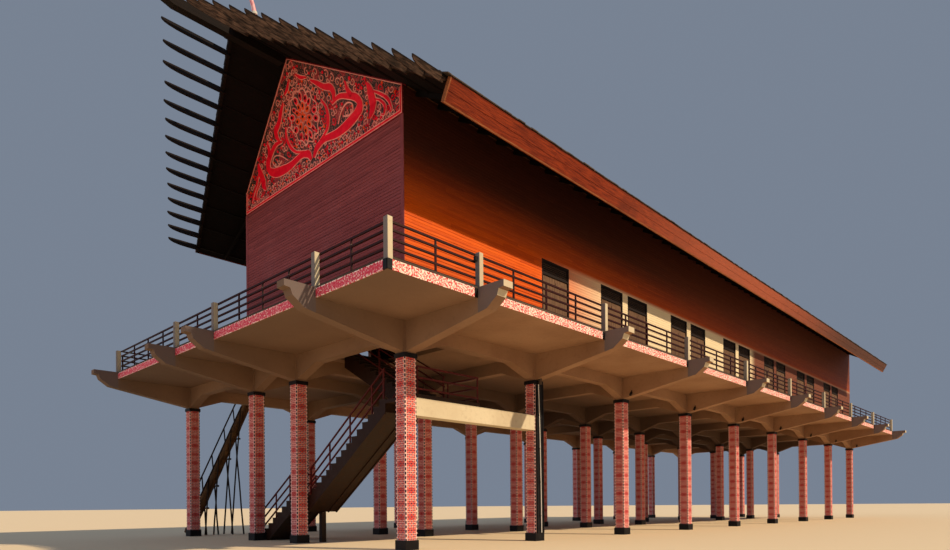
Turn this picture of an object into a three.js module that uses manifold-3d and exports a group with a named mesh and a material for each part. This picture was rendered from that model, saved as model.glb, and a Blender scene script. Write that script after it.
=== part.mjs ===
// A raised longhouse wing on concrete columns, as a model at half the real size.
// Frame: +X to the balcony side, +Y along the wing, +Z up, ground at z = 0.
// The first column row stands at y = 0 and the deck is centred near x = 0.

import * as THREE from 'three';
import { mergeVertices } from 'three/addons/utils/BufferGeometryUtils.js';
import Module from 'manifold-3d';

const wasm = await Module();
wasm.setup();

// One real metre, in millimetres of the model at 1:2
const metre = 500;
// Clearance between pieces that touch
const gap = 0.3;

// Column grid
const bay = 6.0 * metre;
const rowCount = 9;
const columnX = [-7.5 * metre, -1.55 * metre, 1.55 * metre, 7.5 * metre];
const columnSide = 0.43 * metre;
const baseSide = 0.49 * metre;
const baseHeight = 0.28 * metre;
const ringSide = 0.48 * metre;
const ringBottom = 5.66 * metre;
const ringTop = 5.76 * metre;

// Deck and the beams under it
const deckBottom = 6.69 * metre;
const deckTop = 6.88 * metre;
const deckLeft = -7.72 * metre;
const deckRight = 10.62 * metre;
const deckFront = -3.12 * metre;
const wingEnd = 48.3 * metre;
const beamWidth = 0.35 * metre;
const beamBottom = 6.25 * metre;
const haunchRun = 1.4 * metre;
const cantilever = 3.12 * metre;
const bracketReach = 4.03 * metre;
const bracketTop = 6.97 * metre;
// The bracket's underside past the deck edge, as reach and height
const bracketSteps = [[3.12, 6.3], [3.45, 6.36], [3.8, 6.62], [3.86, 6.78], [4.03, 6.8]];

// Parapet posts and railings
const postSide = 0.15 * metre;
const postTop = 7.92 * metre;
const curbHeight = 0.12 * metre;
const railThickness = 0.05 * metre;
// A thin post is a little slimmer than the rails it carries
const postSlimness = 0.8;
const railHeights = [0.2, 0.41, 0.62, 0.83].map((height) => height * metre);
const thinPostsPerBay = 3;

// House on the deck
const wallLeft = -2.23 * metre;
const wallRight = 7.48 * metre;
const wallThickness = 0.2 * metre;
const panelBottom = 12.9 * metre;
const plateHeight = 13.8 * metre;
const ridgeX = (wallLeft + wallRight) / 2;
const ridgeUnder = 16.4 * metre;
const panelThickness = 0.12 * metre;
const panelLean = 0.99 * metre;

// Roof; a run is the level distance from the ridge
const roofSlope = (ridgeUnder - plateHeight) / (wallRight - ridgeX);
const roofThickness = 0.07 * metre;
const eaveRunRight = 7.47 * metre;
const eaveRunLeft = 7.96 * metre;
const vergeAtRidge = -2.95 * metre;
const vergeRake = 0.28;
// The right eave's deep board stands square to the slope, the left eave has a shallow upright one
const fasciaDepth = 0.6 * metre;
const fasciaThickness = 0.08 * metre;
const fasciaFront = -0.67 * metre;
const shallowDepth = 0.08 * metre;
const shallowThickness = 0.04 * metre;

// Pointed planks that stand on edge, square to the roof, on a narrow band under its front edge
const spikeCount = 14;
const spikeThickness = 0.06 * metre;
const spikeTop = 0.06 * metre;
const spikeBottom = -0.21 * metre;
const spikeNotch = -0.02 * metre;
const spikeTipAtRidge = -5.03 * metre;
const spikeShoulder = 0.05 * metre;
const spikeTaper = 0.75 * metre;
const vergeBand = 0.12 * metre;
const bandThickness = 0.09 * metre;
const spikesRight = { first: 0.68 * metre, spacing: 0.52 * metre, rake: 0.42, end: 7.46 * metre };
const spikesLeft = { first: 0.68 * metre, spacing: 0.54 * metre, rake: 0.4, end: 7.9 * metre };

// Ridge: its cap, the long plank below it and the horn on top
const capWidth = 0.42 * metre;
const capThickness = 0.08 * metre;
const spearHalf = 0.13 * metre;
const spearDepth = 0.28 * metre;
const spearBack = -1.2 * metre;
const spearTip = -5.6 * metre;
const spearTaper = 0.9 * metre;
const hornY = -2.1 * metre;
const hornRadius = 0.07 * metre;
// The horn's line above its foot, as offsets in y and z
const hornLine = [[0, 0], [0.05, 0.65], [-0.15, 1.25], [-0.6, 1.75]];

// Doors
const doorWidth = 1.7 * metre;
const doorTop = 10.42 * metre;
const doorPairGap = 0.42 * metre;
const doorPairFirst = 12.4 * metre;
const doorPairSpacing = 6.1 * metre;
const doorPairCount = 6;
const firstDoorRight = 7.4 * metre;
const openDoorLeft = 5.05 * metre;
// A leaf's back and front, measured in from the wall's outer face
const doorBack = 0.14 * metre;
const doorFront = 0.06 * metre;
const sillHeight = 0.06 * metre;
const skirtThickness = 0.05 * metre;
const skirtHeight = 0.14 * metre;
const sideTrim = 0.1 * metre;

// Stair from the ground to the deck
const landingTop = 4.62 * metre;
const landingX = 6.2 * metre;
const lowerFlightFoot = -1.83 * metre;
const lowerFlightY = [0.25 * metre, 1.48 * metre];
const upperFlightTop = 2.2 * metre;
const upperFlightY = [1.52 * metre, 2.95 * metre];
const flightDepth = 0.6 * metre;
const upperRisers = 13;
// The short landing half way up the lower flight
const restTop = 1.5 * metre;
const restX = [0.55 * metre, 1.68 * metre];
const restRisers = [7, 15];
const stairPostX = 1.69 * metre;
const stairPostHalf = 0.09 * metre;
const landingBeamBottom = 3.97 * metre;
const landingBeamTop = 4.5 * metre;
const landingBeamOverlap = 0.2 * metre;
const wellMargin = 0.05 * metre;
const wellFront = 0.4 * metre;
const stairRailInset = 0.06 * metre;
const stairRailHeights = [0.19, 0.52, 0.85].map((height) => height * metre);

// Log stair outside the left edge of the deck, and the crossed poles that carry it
const logFootX = -8.3 * metre;
const logHeadX = -7.92 * metre;
const logFootY = 0.03 * metre;
const logRadius = 0.22 * metre;
const logTop = 7.15 * metre;
const logSlope = 2.29;
const poleRadius = 0.035 * metre;
const handrailReach = 0.45 * metre;
const handrailHeight = 0.85 * metre;
const crossingDrop = 1.8 * metre;
const trestleHeights = [1.9, 2.95, 4.25, 5.25].map((height) => height * metre);

const { abs, atan, hypot, PI } = Math;

function finish(color, roughness, metalness = 0) {
  return new THREE.MeshStandardMaterial({ color, roughness, metalness });
}

const looks = {
  concrete: () => finish(0xc9a36f, 0.85),
  cream: () => finish(0xe6d2a0, 0.8),
  siding: () => finish(0x6e2c22, 0.7),
  ornament: () => finish(0xa3222c, 0.65),
  door: () => finish(0x4d3527, 0.7),
  shingle: () => finish(0x2a211d, 0.85),
  eave: () => finish(0xa04a24, 0.65),
  steel: () => finish(0x241813, 0.5, 0.4),
  log: () => finish(0x5a3a1f, 0.85),
  horn: () => finish(0xd99a9a, 0.5),
};

// A closed geometry as a solid that can be joined and cut
function solid(geometry) {
  const bare = geometry.clone();
  bare.deleteAttribute('normal');
  bare.deleteAttribute('uv');
  const merged = mergeVertices(bare, 1e-4);
  return new wasm.Manifold(new wasm.Mesh({
    numProp: 3,
    vertProperties: new Float32Array(merged.attributes.position.array),
    triVerts: new Uint32Array(merged.index.array),
  }));
}

function join(solids) {
  return solids.reduce((whole, next) => whole.add(next));
}

function node(name, shape, material) {
  const mesh = shape.getMesh();
  const geometry = new THREE.BufferGeometry();
  geometry.setAttribute('position', new THREE.BufferAttribute(mesh.vertProperties, 3));
  geometry.setIndex(new THREE.BufferAttribute(mesh.triVerts, 1));
  geometry.computeVertexNormals();
  const part = new THREE.Mesh(geometry, material);
  part.name = name;
  return part;
}

function box(x0, x1, y0, y1, z0, z1) {
  const geometry = new THREE.BoxGeometry(x1 - x0, y1 - y0, z1 - z0);
  geometry.translate((x0 + x1) / 2, (y0 + y1) / 2, (z0 + z1) / 2);
  return solid(geometry);
}

function extrusion(points, depth) {
  const shape = new THREE.Shape(points.map(([a, b]) => new THREE.Vector2(a, b)));
  return new THREE.ExtrudeGeometry(shape, { depth, bevelEnabled: false, curveSegments: 6 });
}

// An outline in x and z, carried along y
function prismXZ(points, y0, y1) {
  const geometry = extrusion(points, y1 - y0);
  geometry.rotateX(PI / 2);
  geometry.translate(0, y1, 0);
  return solid(geometry);
}

// An outline in y and z, carried along x
function prismYZ(points, x0, x1) {
  const geometry = extrusion(points, x1 - x0);
  geometry.rotateX(PI / 2);
  geometry.rotateZ(PI / 2);
  geometry.translate(x0, 0, 0);
  return solid(geometry);
}

// An outline in plan, tilted to a roof slope; side is 1 to the right of the ridge, -1 to the left
function slopePlate(planPoints, side, lift, thickness) {
  const geometry = extrusion(planPoints, thickness);
  const place = geometry.attributes.position;
  for (let i = 0; i < place.count; i += 1) {
    const run = place.getX(i);
    place.setZ(i, place.getZ(i) + ridgeUnder + lift - roofSlope * run);
    place.setX(i, ridgeX + run);
  }
  const shape = solid(geometry);
  if (side > 0) {
    return shape;
  }
  return shape.mirror([1, 0, 0]).translate([2 * ridgeX, 0, 0]);
}

function roofUnder(x) {
  return ridgeUnder - roofSlope * abs(x - ridgeX);
}

function vergeY(run) {
  return vergeAtRidge + vergeRake * run;
}

// The beam that leaves a column and ends in a stepped bracket, as distance and height
function cantileverOutline() {
  const outer = cantilever + gap;
  const under = deckBottom - gap;
  return [
    [0, ringTop],
    ...bracketSteps.map(([reach, z]) => [reach * metre, z * metre]),
    [bracketReach, bracketTop],
    [outer, bracketTop],
    [outer, under],
    [0, under],
  ];
}

function haunchOutline(center, left, right) {
  const under = deckBottom - gap;
  return [
    [center - left, under],
    [center - left, beamBottom],
    [center, ringTop],
    [center + right, beamBottom],
    [center + right, under],
  ];
}

function column(x, y) {
  const half = columnSide / 2;
  const base = baseSide / 2;
  const ring = ringSide / 2;
  return join([
    box(x - half, x + half, y - half, y + half, 0, deckBottom - gap),
    box(x - base, x + base, y - base, y + base, 0, baseHeight),
    box(x - ring, x + ring, y - ring, y + ring, ringBottom, ringTop),
  ]);
}

// One row of four columns with the beam over them, its bracket and the stubs along the wing
function frameRow(row) {
  const y = row * bay;
  const y0 = y - beamWidth / 2;
  const y1 = y + beamWidth / 2;
  const last = columnX.length - 1;
  const pieces = [box(deckLeft, columnX[last], y0, y1, beamBottom, deckBottom - gap)];
  const bracket = cantileverOutline().map(([reach, z]) => [columnX[last] + reach, z]);
  pieces.push(prismXZ(bracket, y0, y1));
  columnX.forEach((x, index) => {
    pieces.push(column(x, y));
    const left = index === 0 ? x - deckLeft : haunchRun;
    const right = index === last ? columnSide / 2 : haunchRun;
    pieces.push(prismXZ(haunchOutline(x, left, right), y0, y1));
    pieces.push(...lengthwiseStub(x, y, row));
  });
  return join(pieces);
}

function lengthwiseStub(x, y, row) {
  const x0 = x - beamWidth / 2;
  const x1 = x + beamWidth / 2;
  const back = row === 0 ? columnSide / 2 : haunchRun;
  const ahead = row === rowCount - 1 ? wingEnd - y : haunchRun;
  const stub = prismYZ(haunchOutline(y, back, ahead), x0, x1);
  if (row > 0) {
    return [stub];
  }
  const bracket = cantileverOutline().map(([reach, z]) => [y - reach, z]).reverse();
  return [stub, prismYZ(bracket, x0, x1)];
}

function deckSlab() {
  const pieces = [box(deckLeft, deckRight, deckFront, wingEnd, deckBottom, deckTop)];
  for (let row = 0; row < rowCount - 1; row += 1) {
    const y0 = row * bay + haunchRun + gap;
    const y1 = (row + 1) * bay - haunchRun - gap;
    columnX.forEach((x) => {
      const half = beamWidth / 2;
      pieces.push(box(x - half, x + half, y0, y1, beamBottom, deckBottom + 1));
    });
  }
  const well = box(upperFlightTop, landingX + 2 * wellMargin, wellFront, upperFlightY[1] + wellMargin,
    deckBottom - metre, deckTop + metre);
  return join(pieces).subtract(well);
}

// Cream posts on a low curb; along is a list of post places on the parapet's line
function parapetAlongY(x, y0, y1, along) {
  const half = postSide / 2;
  const pieces = [box(x - half, x + half, y0, y1, deckTop + gap, deckTop + curbHeight)];
  along.forEach((y) => {
    pieces.push(box(x - half, x + half, y - half, y + half, deckTop + gap, postTop));
  });
  return join(pieces);
}

function parapetAlongX(y, x0, x1, along) {
  const half = postSide / 2;
  const pieces = [box(x0, x1, y - half, y + half, deckTop + gap, deckTop + curbHeight)];
  along.forEach((x) => {
    pieces.push(box(x - half, x + half, y - half, y + half, deckTop + gap, postTop));
  });
  return join(pieces);
}

// Flat grille of four rails and thin posts: spans along the run and in z, with half widths across
function railingGrille(start, end, posts) {
  const half = railThickness / 2;
  const spans = railHeights.map((height) => [
    start, end, deckTop + height - half, deckTop + height + half, half,
  ]);
  const top = deckTop + railHeights[railHeights.length - 1];
  posts.forEach((place) => {
    spans.push([place - half, place + half, deckTop + gap, top, half * postSlimness]);
  });
  return spans;
}

function railingAlongY(x, y0, y1, posts) {
  return join(railingGrille(y0, y1, posts).map(([a, b, z0, z1, half]) => box(
    x - half, x + half, a, b, z0, z1)));
}

function railingAlongX(y, x0, x1, posts) {
  return join(railingGrille(x0, x1, posts).map(([a, b, z0, z1, half]) => box(
    a, b, y - half, y + half, z0, z1)));
}

function thinPosts(stations) {
  const places = [];
  for (let i = 0; i + 1 < stations.length; i += 1) {
    const length = stations[i + 1] - stations[i];
    const count = length > 4 * metre ? thinPostsPerBay : 1;
    for (let k = 1; k <= count; k += 1) {
      places.push(stations[i] + (length * k) / (count + 1));
    }
  }
  return places;
}

const edgeSetback = 0.02 * metre;
const edgeInset = postSide / 2 + edgeSetback;
const railInset = postSide + edgeSetback + railThickness / 2 + gap;
const rowPlaces = Array.from({ length: rowCount }, (unused, row) => row * bay);
const logGap = [2.35 * metre, 3.75 * metre];

function parapets() {
  const cream = looks.cream;
  const steel = looks.steel;
  const sideX = deckRight - edgeInset;
  const frontY = deckFront + edgeInset;
  const leftX = deckLeft + edgeInset;
  const frontPosts = [leftX, ...columnX.slice(1)];
  const postHalf = postSide / 2;
  const sideStart = frontY - postHalf;
  const behindFront = frontY + postHalf + gap;
  const railX = deckRight - railInset;
  const railY = deckFront + railInset;
  const railLeft = deckLeft + railInset;
  const half = railThickness / 2;
  const sideStations = [railY, ...rowPlaces];
  const frontStations = [railLeft, ...columnX.slice(1), railX];
  const leftRear = rowPlaces.slice(1);
  const rearPosts = [logGap[1] + postHalf, ...leftRear];
  const frontPair = [0, logGap[0] - postHalf];
  const rightThin = [railY + half, ...thinPosts(sideStations)];
  const rearThin = [logGap[1] + 2 * half, ...thinPosts([logGap[1], ...leftRear])];
  const frontThin = [railY + half, ...thinPosts([railY, 0]), logGap[0] - 2 * half];
  return [
    node('parapet_right', parapetAlongY(sideX, sideStart, wingEnd, [frontY, ...rowPlaces]), cream()),
    node('parapet_front', parapetAlongX(frontY, leftX - postHalf, sideX - postHalf - gap, frontPosts),
      cream()),
    node('parapet_left', parapetAlongY(leftX, logGap[1], wingEnd, rearPosts), cream()),
    node('parapet_left_front', parapetAlongY(leftX, behindFront, logGap[0], frontPair), cream()),
    node('railing_right', railingAlongY(railX, railY - half, wingEnd, rightThin), steel()),
    node('railing_front', railingAlongX(railY, railLeft + half + gap, railX - half - gap,
      thinPosts(frontStations)), steel()),
    node('railing_left', railingAlongY(railLeft, logGap[1], wingEnd, rearThin), steel()),
    node('railing_left_front', railingAlongY(railLeft, railY - half, logGap[0], frontThin), steel()),
  ];
}

function doorCentres(single) {
  const places = [single];
  for (let k = 0; k < doorPairCount; k += 1) {
    const centre = doorPairFirst + k * doorPairSpacing;
    const offset = (doorWidth + doorPairGap) / 2;
    places.push(centre - offset, centre + offset);
  }
  return places;
}

// A side wall between two places along y, its top cut to the roof's slope
function sideWall(outer, inner, y0, y1, bottom) {
  return prismXZ([
    [outer, bottom],
    [inner, bottom],
    [inner, roofUnder(inner) - gap],
    [outer, roofUnder(outer) - gap],
  ], y0, y1);
}

function cutDoors(wall, x0, x1, centres) {
  const holes = centres.map((y) => box(x0 - metre, x1 + metre, y - doorWidth / 2, y + doorWidth / 2,
    deckTop - metre, doorTop));
  return holes.reduce((whole, hole) => whole.subtract(hole), wall);
}

// The door leaves of one side, joined by the skirting board along the wall's foot
function doorSet(face, centres) {
  const low = deckTop + gap;
  const half = doorWidth / 2;
  const pieces = centres.map((y) => box(face - doorBack, face - doorFront, y - half + gap, y + half - gap,
    low, doorTop - gap));
  centres.forEach((y) => {
    pieces.push(box(face - doorBack + gap, face + skirtThickness / 2, y - half + gap, y + half - gap,
      low, low + sillHeight));
  });
  const first = Math.min(...centres) - half - sideTrim;
  const last = Math.max(...centres) + half + sideTrim;
  pieces.push(box(face + gap, face + skirtThickness, first, last, low, deckTop + skirtHeight));
  return join(pieces);
}

function doorSetLeft(centres) {
  return doorSet(-wallLeft, centres).mirror([1, 0, 0]);
}

// The ornamented panel: upright below, then leaning forward to the ridge
function gablePanel() {
  const panel = prismYZ([
    [0, panelBottom + gap],
    [panelThickness, panelBottom + gap],
    [panelThickness, plateHeight],
    [panelThickness - panelLean, ridgeUnder],
    [-panelLean, ridgeUnder],
    [0, plateHeight],
  ], wallLeft, wallRight);
  return panel.intersect(underRoof(-2 * panelLean, 2 * panelThickness));
}

// The space under both slopes, a gap below them
function underRoof(y0, y1) {
  const wide = 9 * metre;
  return prismXZ([
    [ridgeX - wide, 0],
    [ridgeX + wide, 0],
    [ridgeX + wide, roofUnder(ridgeX + wide) - gap],
    [ridgeX, ridgeUnder - gap],
    [ridgeX - wide, roofUnder(ridgeX + wide) - gap],
  ], y0, y1);
}

function houseWalls() {
  const siding = looks.siding;
  const front = wallThickness + gap;
  const rear = wingEnd - wallThickness - gap;
  const low = deckTop + gap;
  const innerRight = wallRight - wallThickness;
  const innerLeft = wallLeft + wallThickness;
  const openA = openDoorLeft - doorWidth / 2;
  const openB = openDoorLeft + doorWidth / 2;
  const rightCentres = doorCentres(firstDoorRight);
  const leftCentres = doorCentres(openDoorLeft).slice(1);
  const rightWall = sideWall(wallRight, innerRight, front, rear, low);
  const leftMain = sideWall(wallLeft, innerLeft, openB, rear, low);
  const rearWall = box(wallLeft, wallRight, rear + gap, wingEnd, low, ridgeUnder)
    .intersect(underRoof(rear, wingEnd + metre));
  return [
    node('front_wall', box(wallLeft, wallRight, 0, wallThickness, low, panelBottom), siding()),
    node('gable_panel', gablePanel(), looks.ornament()),
    node('wall_right', cutDoors(rightWall, innerRight, wallRight, rightCentres), siding()),
    node('wall_left', cutDoors(leftMain, wallLeft, innerLeft, leftCentres), siding()),
    node('wall_left_front', sideWall(wallLeft, innerLeft, front, openA - gap, low), siding()),
    node('wall_left_over_door', sideWall(wallLeft, innerLeft, openA, openB - gap, doorTop), siding()),
    node('party_wall', rearWall, siding()),
    node('doors_right', doorSet(wallRight, rightCentres), looks.door()),
    node('doors_left', doorSetLeft(leftCentres), looks.door()),
  ];
}

function roofSlab(side, run) {
  const start = gap / 2;
  const outline = [
    [start, vergeY(start)],
    [run, vergeY(run)],
    [run, wingEnd],
    [start, wingEnd],
  ];
  return slopePlate(outline, side, 0, roofThickness);
}

// The deep board at the right eave, from the slab's lower corner up to the roof's top and down again
function eaveFasciaRight() {
  const long = hypot(1, roofSlope);
  const along = [1 / long, -roofSlope / long];
  const up = [roofSlope / long, 1 / long];
  const corner = [ridgeX + eaveRunRight + gap, ridgeUnder - roofSlope * eaveRunRight];
  const rise = roofThickness / long;
  const place = (out, height) => [
    corner[0] + along[0] * out + up[0] * height,
    corner[1] + along[1] * out + up[1] * height,
  ];
  return prismXZ([
    place(0, rise - fasciaDepth),
    place(fasciaThickness, rise - fasciaDepth),
    place(fasciaThickness, rise),
    place(0, rise),
  ], fasciaFront, wingEnd);
}

function eaveBoardLeft() {
  const inner = ridgeX - eaveRunLeft - gap;
  const top = ridgeUnder + roofThickness - roofSlope * eaveRunLeft;
  return box(inner - shallowThickness, inner, vergeY(eaveRunLeft), wingEnd, top - shallowDepth, top);
}

// One plank on edge, as an outline in y and in height above the roof's underside
function spike(run, rake) {
  const tip = spikeTipAtRidge + rake * run;
  const front = vergeY(run - spikeThickness) - 2 * gap;
  const tail = vergeY(run) + vergeBand - 2 * spikeThickness / 3;
  const shape = new THREE.Shape();
  shape.moveTo(front, spikeTop);
  shape.lineTo(tip, spikeTop);
  shape.quadraticCurveTo(tip + spikeShoulder, spikeBottom, tip + spikeTaper, spikeBottom);
  shape.lineTo(tail, spikeBottom);
  shape.lineTo(tail, spikeNotch);
  shape.lineTo(front, spikeNotch);
  shape.closePath();
  const points = shape.extractPoints(5).shape.map((point) => [point.x, point.y]);
  return prismYZ(points, -spikeThickness / 2, spikeThickness / 2)
    .rotate([0, atan(roofSlope) * 180 / PI, 0])
    .translate([ridgeX + run, 0, ridgeUnder - roofSlope * run]);
}

// A comb along one front edge of the roof: a band under the edge and the planks that reach forward
function vergeComb(side, spikes) {
  const start = spearHalf + gap;
  const outline = [
    [start, vergeY(start)],
    [spikes.end, vergeY(spikes.end)],
    [spikes.end, vergeY(spikes.end) + vergeBand],
    [start, vergeY(start) + vergeBand],
  ];
  const pieces = [slopePlate(outline, 1, -bandThickness - gap, bandThickness)];
  for (let k = 0; k < spikeCount; k += 1) {
    pieces.push(spike(spikes.first + k * spikes.spacing, spikes.rake));
  }
  const comb = join(pieces);
  if (side > 0) {
    return comb;
  }
  return comb.mirror([1, 0, 0]).translate([2 * ridgeX, 0, 0]);
}

function ridgeCap() {
  const low = ridgeUnder + roofThickness + gap;
  const top = low + capThickness;
  const fall = roofSlope * capWidth;
  return prismXZ([
    [ridgeX - capWidth, low - fall],
    [ridgeX, low],
    [ridgeX + capWidth, low - fall],
    [ridgeX + capWidth, top - fall],
    [ridgeX, top],
    [ridgeX - capWidth, top - fall],
  ], vergeAtRidge, wingEnd);
}

// The plank that runs on past the ridge, pointed like the others
function ridgeSpear() {
  const top = roofUnder(ridgeX + spearHalf) - gap;
  const bottom = top - spearDepth;
  return prismYZ([
    [spearTip + spearTaper, bottom],
    [spearTip, top],
    [spearBack, top],
    [spearBack, bottom],
  ], ridgeX - spearHalf, ridgeX + spearHalf);
}

// A curved horn that stands on the ridge near its front end
function ridgeHorn() {
  const foot = ridgeUnder + roofThickness + capThickness;
  const path = new THREE.CatmullRomCurve3(hornLine.map(([y, z]) => new THREE.Vector3(
    ridgeX, hornY + y * metre, foot + z * metre)));
  const section = new THREE.Shape();
  section.absarc(0, 0, hornRadius, 0, 2 * PI);
  const geometry = new THREE.ExtrudeGeometry(section, {
    steps: 8, extrudePath: path, bevelEnabled: false, curveSegments: 4,
  });
  const bottom = foot + 2 * gap;
  const keep = box(ridgeX - metre, ridgeX + metre, hornY - 2 * metre, hornY + metre,
    bottom, bottom + 3 * metre);
  return solid(geometry).intersect(keep);
}

function roof() {
  return [
    node('roof_right', roofSlab(1, eaveRunRight), looks.shingle()),
    node('roof_left', roofSlab(-1, eaveRunLeft), looks.shingle()),
    node('eave_board_right', eaveFasciaRight(), looks.eave()),
    node('eave_board_left', eaveBoardLeft(), looks.eave()),
    node('verge_planks_right', vergeComb(1, spikesRight), looks.shingle()),
    node('verge_planks_left', vergeComb(-1, spikesLeft), looks.shingle()),
    node('ridge_cap', ridgeCap(), looks.shingle()),
    node('ridge_spear', ridgeSpear(), looks.shingle()),
    node('ridge_horn', ridgeHorn(), looks.horn()),
  ];
}

// The tops and fronts of the steps from one level up to another
function stepLine(flight) {
  const going = (flight.top - flight.foot) / flight.risers;
  const step = flight.rise / flight.risers;
  const points = [];
  for (let k = 0; k < flight.risers; k += 1) {
    const x = flight.foot + going * k;
    points.push([x, flight.level + step * (k + 1)], [x + going, flight.level + step * (k + 1)]);
  }
  return points;
}

// The height of a flight's underside, parallel to its steps
function flightUnder(flight, x) {
  const slope = flight.rise / (flight.top - flight.foot);
  return flight.level + flight.rise / flight.risers + slope * (x - flight.foot) - flightDepth;
}

// Where a flight's underside comes down to the level it starts from
function flightHeel(flight) {
  const slope = flight.rise / (flight.top - flight.foot);
  return flight.foot + (flightDepth - flight.rise / flight.risers) / slope;
}

const restFlight = {
  foot: lowerFlightFoot, top: restX[0], level: 0, rise: restTop,
  risers: restRisers[0], treads: [0, 3, 6],
};
const mainFlight = {
  foot: restX[1], top: landingX - gap, level: restTop, rise: landingTop - restTop,
  risers: restRisers[1], treads: [0, 4, 8, 12, 14],
};
const upperFlight = {
  foot: landingX, top: upperFlightTop + gap, level: landingTop + gap,
  rise: deckTop - landingTop - gap, risers: upperRisers, treads: [0, 6, 12],
};

// Two flights with the short landing between them, in one piece
function lowerFlightBody() {
  const outline = [
    [restFlight.foot, 0],
    ...stepLine(restFlight),
    [mainFlight.foot, mainFlight.level],
    ...stepLine(mainFlight),
    [mainFlight.top, flightUnder(mainFlight, mainFlight.top)],
    [mainFlight.foot, flightUnder(mainFlight, mainFlight.foot)],
    [restFlight.top, flightUnder(restFlight, restFlight.top)],
    [flightHeel(restFlight), 0],
  ];
  return prismXZ(outline.reverse(), lowerFlightY[0], lowerFlightY[1]);
}

function upperFlightBody() {
  const outline = [
    [upperFlight.foot, upperFlight.level],
    ...stepLine(upperFlight),
    [upperFlight.top, flightUnder(upperFlight, upperFlight.top)],
    [flightHeel(upperFlight), upperFlight.level],
  ];
  return prismXZ(outline, upperFlightY[0], upperFlightY[1]);
}

// The line over a flight's step edges
function nosing(flight, x) {
  const slope = flight.rise / (flight.top - flight.foot);
  return flight.level + flight.rise / flight.risers + slope * (x - flight.foot);
}

function treadMiddle(flight, tread) {
  return flight.foot + ((flight.top - flight.foot) / flight.risers) * (tread + 0.5);
}

// Sloping rails over one flight, with posts that stand on its treads
function flightRails(y, flight) {
  const half = railThickness / 2;
  const slim = half * postSlimness;
  const step = flight.rise / flight.risers;
  const ends = [flight.treads[0], flight.treads[flight.treads.length - 1]].map((tread) => (
    treadMiddle(flight, tread)));
  const x0 = Math.min(...ends) - railThickness;
  const x1 = Math.max(...ends) + railThickness;
  const pieces = stairRailHeights.map((height) => prismXZ([
    [x0, nosing(flight, x0) + height - half],
    [x1, nosing(flight, x1) + height - half],
    [x1, nosing(flight, x1) + height + half],
    [x0, nosing(flight, x0) + height + half],
  ], y - half, y + half));
  const topRail = stairRailHeights[stairRailHeights.length - 1];
  flight.treads.forEach((tread) => {
    const x = treadMiddle(flight, tread);
    const bottom = flight.level + step * (tread + 1) + gap;
    pieces.push(box(x - half, x + half, y - slim, y + slim, bottom, nosing(flight, x) + topRail));
  });
  return join(pieces);
}

// The rails of both lower flights, joined by level rails over the short landing
function lowerRails(y) {
  const half = railThickness / 2;
  const x0 = treadMiddle(restFlight, restFlight.treads[restFlight.treads.length - 1]);
  const x1 = treadMiddle(mainFlight, 0);
  const level = stairRailHeights.map((height) => {
    const z = nosing(restFlight, x0) + height;
    return box(x0, x1, y - half, y + half, z - half, z + half);
  });
  return join([flightRails(y, restFlight), flightRails(y, mainFlight), ...level]);
}

// The landing's rail: along its outer edge and back along its far edge
function landingRail(outerX, innerX, nearY, farY) {
  const half = railThickness / 2;
  const slim = half * postSlimness;
  const low = landingTop + gap;
  const top = landingTop + stairRailHeights[stairRailHeights.length - 1] - half;
  const pieces = [[outerX, nearY], [outerX, farY], [innerX, farY]].map(([x, y]) => box(
    x - slim, x + slim, y - slim, y + slim, low, top));
  stairRailHeights.forEach((height) => {
    const z0 = landingTop + height - railThickness;
    const z1 = landingTop + height;
    pieces.push(box(outerX - half, outerX + half, nearY - half, farY + half, z0, z1));
    pieces.push(box(innerX - half, outerX + half, farY - half, farY + half, z0, z1));
  });
  return join(pieces);
}

function stair() {
  const steel = looks.steel;
  const beamX = columnX[columnX.length - 1];
  const landingEdge = beamX + columnSide / 2;
  const clear = columnSide / 2 + gap;
  const inset = stairRailInset;
  const postY = (lowerFlightY[0] + lowerFlightY[1]) / 2;
  const under = flightUnder(mainFlight, mainFlight.foot);
  const post = box(stairPostX - stairPostHalf, stairPostX + stairPostHalf,
    postY - stairPostHalf, postY + stairPostHalf, 0, under - gap);
  return [
    node('landing_beam', box(beamX - landingBeamOverlap, landingEdge, clear, bay - clear,
      landingBeamBottom, landingBeamTop), looks.cream()),
    node('stair_landing', box(landingX, landingEdge, lowerFlightY[0], upperFlightY[1],
      landingBeamTop + gap, landingTop), steel()),
    node('stair_lower_flight', lowerFlightBody(), steel()),
    node('stair_upper_flight', upperFlightBody(), steel()),
    node('stair_post', post, steel()),
    node('stair_rail_lower_near', lowerRails(lowerFlightY[0] + inset), steel()),
    node('stair_rail_lower_far', lowerRails(lowerFlightY[1] - inset), steel()),
    node('stair_rail_upper_near', flightRails(upperFlightY[0] + inset, upperFlight), steel()),
    node('stair_rail_upper_far', flightRails(upperFlightY[1] - inset, upperFlight), steel()),
    node('landing_rail', landingRail(landingEdge - inset, landingX + inset, lowerFlightY[0] + inset,
      upperFlightY[1] - inset), steel()),
  ];
}

// A round pole between two points
function pole(from, to, radius, sides) {
  const a = new THREE.Vector3(...from);
  const b = new THREE.Vector3(...to);
  const geometry = new THREE.CylinderGeometry(radius, radius, a.distanceTo(b), sides);
  const along = b.clone().sub(a).normalize();
  geometry.applyQuaternion(new THREE.Quaternion().setFromUnitVectors(new THREE.Vector3(0, 1, 0), along));
  geometry.translate((a.x + b.x) / 2, (a.y + b.y) / 2, (a.z + b.z) / 2);
  return solid(geometry);
}

// The log's axis at a height
function logAxis(z) {
  return [logFootX + (logHeadX - logFootX) * (z / deckTop), logFootY + z / logSlope, z];
}

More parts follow.
